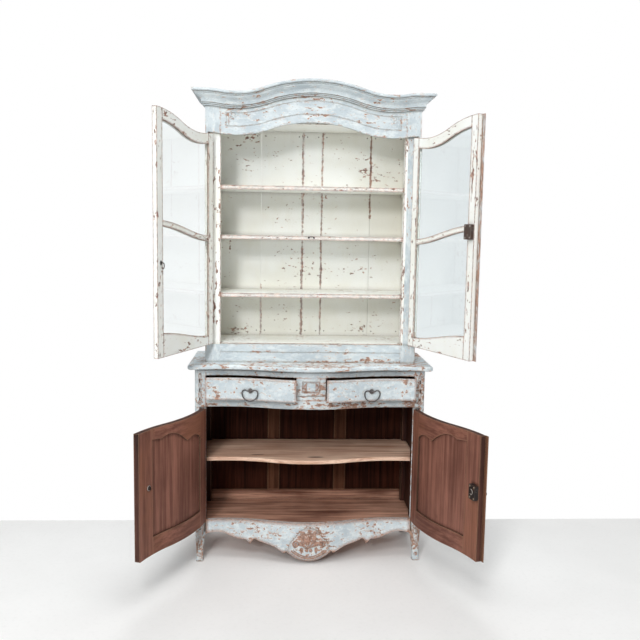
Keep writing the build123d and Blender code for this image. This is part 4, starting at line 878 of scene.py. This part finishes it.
# A shell's scalloped rim and the arch of its flutes from foot to rim
SCALLOP = 0.1
FLUTE_START = 0.16
FLUTE_SPAN = 0.82
FLUTE_POWER = 0.6


def shell(x, z, foot, radius, spread, flutes, rise):
    # Fluted fan that opens upwards from its foot
    across, up = x - foot[0], z - foot[1]
    turn = atan2(across, up)
    if abs(turn) > spread:
        return 0.0
    wave = 0.5 + 0.5 * cos(pi * flutes * turn / spread)
    away = hypot(across, up) / (radius * (1 - SCALLOP + SCALLOP * wave))
    if away > 1:
        return 0.0
    arch = sin(pi * min(1.0, away * FLUTE_SPAN + FLUTE_START)) ** FLUTE_POWER
    return rise * (0.5 + 0.5 * wave) * arch


def boss(x, z, centre, radius, rise):
    # Round knob
    return ridge(hypot(x - centre[0], z - centre[1]), radius, rise)


# Outline of the apron's lobe, and the lines that follow it inside the cartouche
LOBE_LOW = 0.022
LOBE_RISE = 0.045
LOBE_HALF = 0.0945
LOBE_POWER = 1.9
CARTOUCHE_HALF = 0.082
RIM_CLEAR = 0.003
OUTER_LINE_IN = 0.008
INNER_LINE_IN = 0.016
INNER_LINE_HALF = 0.07


def cartouche(x, z):
    x_abs = abs(x)
    rim_z = LOBE_LOW + LOBE_RISE * (x_abs / LOBE_HALF) ** LOBE_POWER
    if x_abs > CARTOUCHE_HALF or z < rim_z + RIM_CLEAR:
        return 0.0
    slope = LOBE_POWER * LOBE_RISE / LOBE_HALF * (x_abs / LOBE_HALF) ** (LOBE_POWER - 1)
    over_rim = (z - rim_z) / hypot(1.0, slope)
    inner_line = ridge(over_rim - INNER_LINE_IN, half_width=0.003, rise=0.002)
    return max(
        ridge(over_rim - OUTER_LINE_IN, half_width=0.0035, rise=0.003),
        inner_line if x_abs < INNER_LINE_HALF else 0.0,
        shell(x, z, foot=(0.0, 0.082), radius=0.052, spread=radians(78), flutes=5, rise=0.007),
        volute(x_abs, z, centre=(0.058, 0.1), radius=0.017, turns=1.75, way=-1, rise=0.004),
        volute(x_abs, z, centre=(0.03, 0.148), radius=0.011, turns=1.5, way=1, rise=0.003),
        boss(x_abs, z, centre=(0.009, 0.069), radius=0.008, rise=0.005),
        drop(x_abs, z, top=(0.034, 0.082), length=0.03, half_width=0.008, rise=0.003),
    )


def knee(x, z):
    x_abs = abs(x)
    return max(
        volute(x_abs, z, centre=(0.505, 0.163), radius=0.015, turns=1.75, way=1, rise=0.0035),
        drop(x_abs, z, top=(0.5055, 0.15), length=0.09, half_width=0.0115, rise=0.0035),
        drop(x_abs, z, top=(0.4935, 0.17), length=0.06, half_width=0.006, rise=0.0025),
        boss(x_abs, z, centre=(0.505, 0.03), radius=0.009, rise=0.003),
    )


HUSK_X = 0.5025
HUSK_TOPS = (0.885, 0.842, 0.799)


def husks(x, z):
    x_abs = abs(x)
    hung = [
        drop(x_abs, z, top=(HUSK_X, top), length=0.036, half_width=0.0075, rise=0.0045)
        for top in HUSK_TOPS
    ]
    return max(*hung, volute(x_abs, z, centre=(HUSK_X, 0.748), radius=0.011, turns=1.5, way=1, rise=0.003))


BLOCK_Z = 0.8325
BLOCK_FRAME_HALF = (0.037, 0.0235)
BLOCK_LEAF_SPREAD = radians(44)
BLOCK_LEAF_HALF = 0.007
BLOCK_LEAF_TIP = 0.0005
BLOCK_LEAF_R = 0.0265


def block_leaves(x, z):
    # Two curled leaves that face each other inside a thin frame
    across, up = abs(x), z - BLOCK_Z
    share = atan2(up, across) / BLOCK_LEAF_SPREAD
    leaf = 0.0
    if abs(share) < 1:
        half_width = BLOCK_LEAF_HALF * (1 - share**2) + BLOCK_LEAF_TIP
        leaf = ridge(hypot(across, up) - BLOCK_LEAF_R, half_width, rise=0.0045)
    edge = max(across - BLOCK_FRAME_HALF[0], abs(up) - BLOCK_FRAME_HALF[1])
    return max(leaf, ridge(edge, half_width=0.0016, rise=0.0005))


def frieze_scroll(x, z):
    x_abs = abs(x)
    return max(
        volute(x_abs, z, centre=(0.358, 2.04), radius=0.02, turns=1.75, way=-1, rise=0.002),
        drop(x_abs, z, top=(0.38, 2.035), length=0.04, half_width=0.008, rise=0.002),
    )


# Widths and heights that the carvings cover: those of legs and frieze are for the right side
CARTOUCHE_SPANS = ((-0.084, 0.084), (0.02, 0.168))
BLOCK_SPANS = ((-0.04, 0.04), (0.806, 0.859))
LEG_WIDTH = (0.482, 0.528)
KNEE_HEIGHT = (0.015, 0.186)
HUSK_HEIGHT = (0.732, 0.9)
SCROLL_WIDTH = (0.33, 0.4)
SCROLL_HEIGHT = (1.99, 2.07)
carved_apron = make_material("carved_apron", carved_paint(0.08))
carved_legs = make_material("carved_legs", carved_paint(0.03))
carved_block = make_material("carved_block", carved_paint(0.03))
carved_frieze = make_material("carved_frieze", carved_paint(0.0))
carve("apron_cartouche", "apron", *CARTOUCHE_SPANS, cartouche, carved_apron)
carve("block_leaves", "drawer_divider", *BLOCK_SPANS, block_leaves, carved_block, FINE_STEP)
for side, way in SIDES:
    width = sorted(way * x for x in LEG_WIDTH)
    carve(f"{side}_knee_scroll", "front_legs", width, KNEE_HEIGHT, knee, carved_legs, FINE_STEP)
    carve(f"{side}_post_husks", "front_legs", width, HUSK_HEIGHT, husks, carved_legs, FINE_STEP)
for side, way in SIDES:
    width = sorted(way * x for x in SCROLL_WIDTH)
    name = f"{side}_frieze_scroll"
    carve(name, "frieze_board", width, SCROLL_HEIGHT, frieze_scroll, carved_frieze, FINE_STEP)


# Small curved brackets round the corners between the apron and the tapered front legs
BRACKET_R = 0.036
BRACKET_T = 0.016
BRACKET_BEVEL = 0.0015
BRACKET_SET = 0.003
BRACKET_SINK = 0.003
BRACKET_STEPS = 12
BRACKET_SHARP = radians(40)
LEG_TAPER = 0.009
APRON_MID_Z = 0.155
apron_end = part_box("apron")[1].x
bracket_end = apron_end + LEG_TAPER


def bracket_points(way):
    # Three outlines, front to back: a corner inside the leg and the arc that it fills
    tree = surface_of("apron")
    centre_x = bracket_end - BRACKET_R
    inside = front_of(tree, way * centre_x, APRON_MID_Z).y + BRACKET_T / 2
    low = tree.ray_cast(Vector((way * centre_x, inside, 0.0)), Vector(UP))[0].z
    points = []
    for bevel, depth in ((BRACKET_BEVEL, 0.0), (0.0, BRACKET_BEVEL), (0.0, BRACKET_T)):
        outline = [(bracket_end + BRACKET_SINK, low + BRACKET_SINK)]
        for k in range(BRACKET_STEPS + 1):
            turn = pi / 2 * k / BRACKET_STEPS
            radius = BRACKET_R + bevel
            outline.append((centre_x + radius * cos(turn), low + radius * sin(turn) - BRACKET_R))
        for x, z in outline:
            front = front_of(tree, way * min(x, apron_end - BRACKET_BEVEL), APRON_MID_Z)
            points.append((way * x, front.y + BRACKET_SET + depth, z))
    return points


def add_bracket(name, way):
    count = BRACKET_STEPS + 2
    faces = []
    for k in range(1, count - 1):
        faces.append((0, k + 1, k))
        faces.append((2 * count, 2 * count + k, 2 * count + k + 1))
    for ring in (0, count):
        for k in range(count):
            after = (k + 1) % count
            faces.append((ring + k, ring + after, ring + count + after, ring + count + k))
    if way < 0:
        faces = [face[::-1] for face in faces]
    mesh = make_mesh(name, bracket_points(way), faces)
    mesh.set_sharp_from_angle(angle=BRACKET_SHARP)
    add_piece(name, mesh, "cabinet", legs)


for side, way in SIDES:
    add_bracket(f"{side}_knee_bracket", way)


# Shape of a head from its rim to its crown, as shares of radius and rise
HEAD_PROFILE = ((1.08, -0.6), (1.0, 0.0), (0.96, 0.4), (0.72, 0.82), (0.36, 0.97))
HEAD_SIDES = 12


class Heads:
    # Round heads of nails, pegs and screws gathered into one piece
    def __init__(self):
        self.points = []
        self.faces = []

    def add(self, place, out, radius, rise, tall=1.0):
        first = len(self.points)
        turn = out.to_track_quat("Z", "Y").to_matrix()
        for share, up in HEAD_PROFILE:
            for k in range(HEAD_SIDES):
                angle = 2 * pi * k / HEAD_SIDES
                flat = Vector((cos(angle) * share * radius, sin(angle) * share * radius * tall, up * rise))
                self.points.append(place + turn @ flat)
        self.points.append(place + out * rise)
        for row in range(len(HEAD_PROFILE) - 1):
            for k in range(HEAD_SIDES):
                a, b = first + row * HEAD_SIDES + k, first + row * HEAD_SIDES + (k + 1) % HEAD_SIDES
                self.faces.append((a, b, b + HEAD_SIDES, a + HEAD_SIDES))
        last = first + (len(HEAD_PROFILE) - 1) * HEAD_SIDES
        for k in range(HEAD_SIDES):
            self.faces.append((last + k, last + (k + 1) % HEAD_SIDES, len(self.points) - 1))

    def save(self, name, body, finish, slot):
        add_piece(name, make_mesh(name, self.points, self.faces), body, finish)


def on_door(node, joint_name, x, z, inside):
    # Place and outward direction on one face of an open door, from its closed x and z
    move = closed_to_open(joint_name)
    way = 1.0 if inside else -1.0
    start = move @ Vector((x, way, z))
    direction = move.to_3x3() @ Vector((0.0, -way, 0.0))
    return surface_of(node).ray_cast(start, direction)[:2]


NAIL_R = 0.0028
NAIL_RISE = 0.0009
NAIL_IN = 0.02
NAIL_LEVELS = (1.035, 1.234, 1.499, 1.724, 1.985)
plank_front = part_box("hutch_back_planks")[0].y
nails = Heads()
for left, right in zip(PLANK_EDGES, PLANK_EDGES[1:]):
    for x in (left + NAIL_IN, right - NAIL_IN):
        for z in NAIL_LEVELS:
            nails.add(Vector((x, plank_front, z)), Vector(FRONT), NAIL_R, NAIL_RISE)
nails.save("plank_nails", "cabinet", dull_iron, "iron")

# Pegs of the door joints, by x and z on the closed right door
PEG_R = 0.0042
PEG_RISE = 0.0006
UPPER_PEGS = (
    (0.014, 1.03), (0.036, 1.09), (0.438, 1.03), (0.46, 1.045),
    (0.014, 1.96), (0.438, 1.915), (0.46, 1.925),
)
LOWER_PEGS = (
    (0.03, 0.215), (0.07, 0.25), (0.45, 0.215), (0.48, 0.25),
    (0.03, 0.705), (0.07, 0.69), (0.45, 0.7), (0.48, 0.69),
)
for side, way in SIDES:
    for level, spots in (("upper", UPPER_PEGS), ("lower", LOWER_PEGS)):
        joint_name, node = f"{level}_{side}_door_hinge", f"{level}_{side}_door_stiles"
        for face, inside in (("inner", True), ("outer", False)):
            pegs = Heads()
            for x, z in spots:
                pegs.add(*on_door(node, joint_name, way * x, z, inside), PEG_R, PEG_RISE)
            pegs.save(f"{level}_{side}_{face}_pegs", f"{level}_{side}_door", *FINISHES[node])

# Screws at the corners of the two rim locks
SCREW_R = 0.0042
SCREW_RISE = 0.0016
SCREW_XS = (0.0145, 0.0455)
SCREW_UP = 0.0235
LOCKS = (("upper", 1.54, pale_iron), ("lower", 0.486, brass))
for level, lock_z, finish in LOCKS:
    node, joint_name = f"{level}_right_door_lock", f"{level}_right_door_hinge"
    screws = Heads()
    for x in SCREW_XS:
        for z in (lock_z - SCREW_UP, lock_z + SCREW_UP):
            screws.add(*on_door(node, joint_name, x, z, True), SCREW_R, SCREW_RISE)
    screws.save(f"{level}_lock_screws", f"{level}_right_door", finish, "iron")


RING_PROUD = 0.0006
WIRE_ROUNDNESS = 3


def add_wire(name, points, radius, body, finish, loop=False):
    # Round wire along a smooth curve near the points
    curve = bpy.data.curves.new(name, "CURVE")
    curve.dimensions = "3D"
    curve.bevel_depth = radius
    curve.bevel_resolution = WIRE_ROUNDNESS
    curve.use_fill_caps = True
    spline = curve.splines.new("NURBS")
    spline.points.add(len(points) - 1)
    for point, place in zip(spline.points, points):
        point.co = (*place, 1.0)
    spline.order_u = 3
    spline.use_endpoint_u = not loop
    spline.use_cyclic_u = loop
    add_piece(name, curve, body, finish)


def arc_on_door(node, joint_name, centre, radius, first, last, count):
    # Points of an arc just proud of the inner face of a door, from its closed x and z
    points = []
    for k in range(count):
        angle = radians(first + (last - first) * k / count)
        x, z = centre[0] + radius * cos(angle), centre[1] + radius * sin(angle)
        hit, normal = on_door(node, joint_name, x, z, True)
        points.append(hit + normal * RING_PROUD)
    return points


# Wire spring on the lower lock and ring round the stud, with arcs in degrees
SPRING_R = 0.011
SPRING_WIRE_R = 0.0014
SPRING_CENTRE = (0.034, 0.487)
SPRING_ARC = (70, 330)
SPRING_POINTS = 9
STUD_RING_R = 0.0105
STUD_WIRE_R = 0.0016
STUD_POINTS = 12
right_hinge, left_hinge = "lower_right_door_hinge", "lower_left_door_hinge"
spring = arc_on_door(
    "lower_right_door_lock", right_hinge, SPRING_CENTRE, SPRING_R, *SPRING_ARC, SPRING_POINTS)
add_wire("lower_lock_spring", spring, SPRING_WIRE_R, "lower_right_door", pale_iron)
stud_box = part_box("lower_left_door_stud")
stud = closed_to_open(left_hinge).inverted() @ ((stud_box[0] + stud_box[1]) / 2)
stud_spot = (stud.x, stud.z)
ring = arc_on_door("lower_left_door_stiles", left_hinge, stud_spot, STUD_RING_R, 0, 360, STUD_POINTS)
add_wire("lower_stud_ring", ring, STUD_WIRE_R, "lower_left_door", pale_iron, loop=True)

# Hook on the upper left door: y and height over HOOK_Z on the closed door
HOOK_X = -0.031
HOOK_Z = 1.385
HOOK_WIRE_R = 0.0019
HOOK_LINE = (
    (0.128, 0.014), (0.139, 0.014), (0.147, 0.01), (0.147, -0.004),
    (0.142, -0.013), (0.137, -0.01), (0.137, -0.004),
)
HOOK_PLATE_Z = HOOK_Z + 0.012
HOOK_PLATE_R = 0.007
HOOK_PLATE_RISE = 0.0014
HOOK_PLATE_TALL = 1.5
hook_hinge = "upper_left_door_hinge"
hook = [opened(hook_hinge, (HOOK_X, y, HOOK_Z + up)) for y, up in HOOK_LINE]
add_wire("door_hook", hook, HOOK_WIRE_R, "upper_left_door", iron)
hook_plate = Heads()
plate_spot = on_door("upper_left_door_stiles", hook_hinge, HOOK_X, HOOK_PLATE_Z, True)
hook_plate.add(*plate_spot, HOOK_PLATE_R, HOOK_PLATE_RISE, HOOK_PLATE_TALL)
hook_plate.save("door_hook_plate", "upper_left_door", iron, "iron")

# Catch on the front of the middle shelf: x, distance out of the shelf and height
CATCH_X = -0.004
CATCH_Z = 1.499
CATCH_WIRE_R = 0.0016
CATCH_LINE = (
    (-0.011, -0.004, 0.004), (-0.011, 0.0025, 0.005), (-0.004, 0.003, 0.007),
    (0.004, 0.003, 0.007), (0.011, 0.0025, 0.005), (0.011, -0.004, 0.004),
)
CATCH_PLATE_ASIDE = 0.012
CATCH_PLATE_UP = 0.002
CATCH_PLATE_R = 0.0045
CATCH_PLATE_RISE = 0.0012
shelf_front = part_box("hutch_shelves")[0].y
catch = [Vector((CATCH_X + x, shelf_front - out, CATCH_Z + up)) for x, out, up in CATCH_LINE]
add_wire("shelf_catch", catch, CATCH_WIRE_R, "cabinet", iron)
catch_plate = Heads()
for x in (CATCH_X - CATCH_PLATE_ASIDE, CATCH_X + CATCH_PLATE_ASIDE):
    place = Vector((x, shelf_front, CATCH_Z + CATCH_PLATE_UP))
    catch_plate.add(place, Vector(FRONT), CATCH_PLATE_R, CATCH_PLATE_RISE)
catch_plate.save("shelf_catch_plates", "cabinet", iron, "iron")


def make_camera():
    yaw, pitch, roll = radians(CAMERA_YAW), radians(CAMERA_PITCH), radians(CAMERA_ROLL)
    ahead = Vector((sin(yaw) * cos(pitch), cos(yaw) * cos(pitch), -sin(pitch)))
    level_right = ahead.cross(Vector(UP)).normalized()
    level_up = level_right.cross(ahead)
    right = level_right * cos(roll) + level_up * sin(roll)
    up = level_up * cos(roll) - level_right * sin(roll)
    data = bpy.data.cameras.new("camera")
    data.sensor_fit = "HORIZONTAL"
    data.sensor_width = SENSOR
    data.lens = CAMERA_LENS
    camera = bpy.data.objects.new("camera", data)
    scene.collection.objects.link(camera)
    turned = Matrix((right, up, -ahead)).transposed().to_4x4()
    camera.matrix_world = Matrix.Translation(CAMERA_PLACE) @ turned
    scene.camera = camera


def add_lamp(name, place, target, size, watts):
    data = bpy.data.lights.new(name, "AREA")
    data.size = size
    data.energy = watts
    lamp = bpy.data.objects.new(name, data)
    scene.collection.objects.link(lamp)
    lamp.location = place
    lamp.rotation_euler = (Vector(target) - Vector(place)).to_track_quat("-Z", "Y").to_euler()


def make_world(strength):
    # White backdrop that lights the scene less than it shows
    world = bpy.data.worlds.new("studio")
    scene.world = world
    world.use_nodes = True
    sky = Nodes(world.node_tree)
    glow = sky.level(sky.seen_directly(), strength, 1.0)
    light = sky.node("ShaderNodeBackground", {"Color": (1.0, 1.0, 1.0, 1.0), "Strength": glow})
    sky.show(light.outputs[0], "ShaderNodeOutputWorld")


def make_floor():
    # Matt floor that takes shadows and turns into white backdrop at the wall
    sh = Shader("floor")
    cloud = sh.noise(1.6, 5.0)
    grit = sh.noise(60.0, 4.0)
    colour = sh.blend(sh.fade(cloud, 0.3, 0.7), GROUND, GROUND_PALE)
    colour = sh.blend(sh.times(sh.fade(grit, 0.5, 0.75), 0.4), colour, GROUND_GRIT)
    matt = {"Base Color": colour, "Roughness": FLOOR_ROUGHNESS}
    ground = sh.node("ShaderNodeBsdfPrincipled", matt)
    white = sh.node("ShaderNodeEmission")
    behind_wall = sh.fade(sh.y, WALL_Y - WALL_SOFT, WALL_Y + WALL_SOFT)
    far = sh.times(behind_wall, sh.seen_directly())
    shown = sh.node("ShaderNodeMixShader", {0: far, 1: ground.outputs[0], 2: white.outputs[0]})
    sh.show(shown.outputs[0])
    r = FLOOR_REACH
    mesh = bpy.data.meshes.new("floor")
    mesh.from_pydata([(-r, -r, 0), (r, -r, 0), (r, r, 0), (-r, r, 0)], [], [(0, 1, 2, 3)])
    mesh.materials.append(sh.material)
    floor = bpy.data.objects.new("floor", mesh)
    scene.collection.objects.link(floor)


make_camera()
make_world(SKY_STRENGTH)
make_floor()
for lamp in LAMPS:
    add_lamp(*lamp)
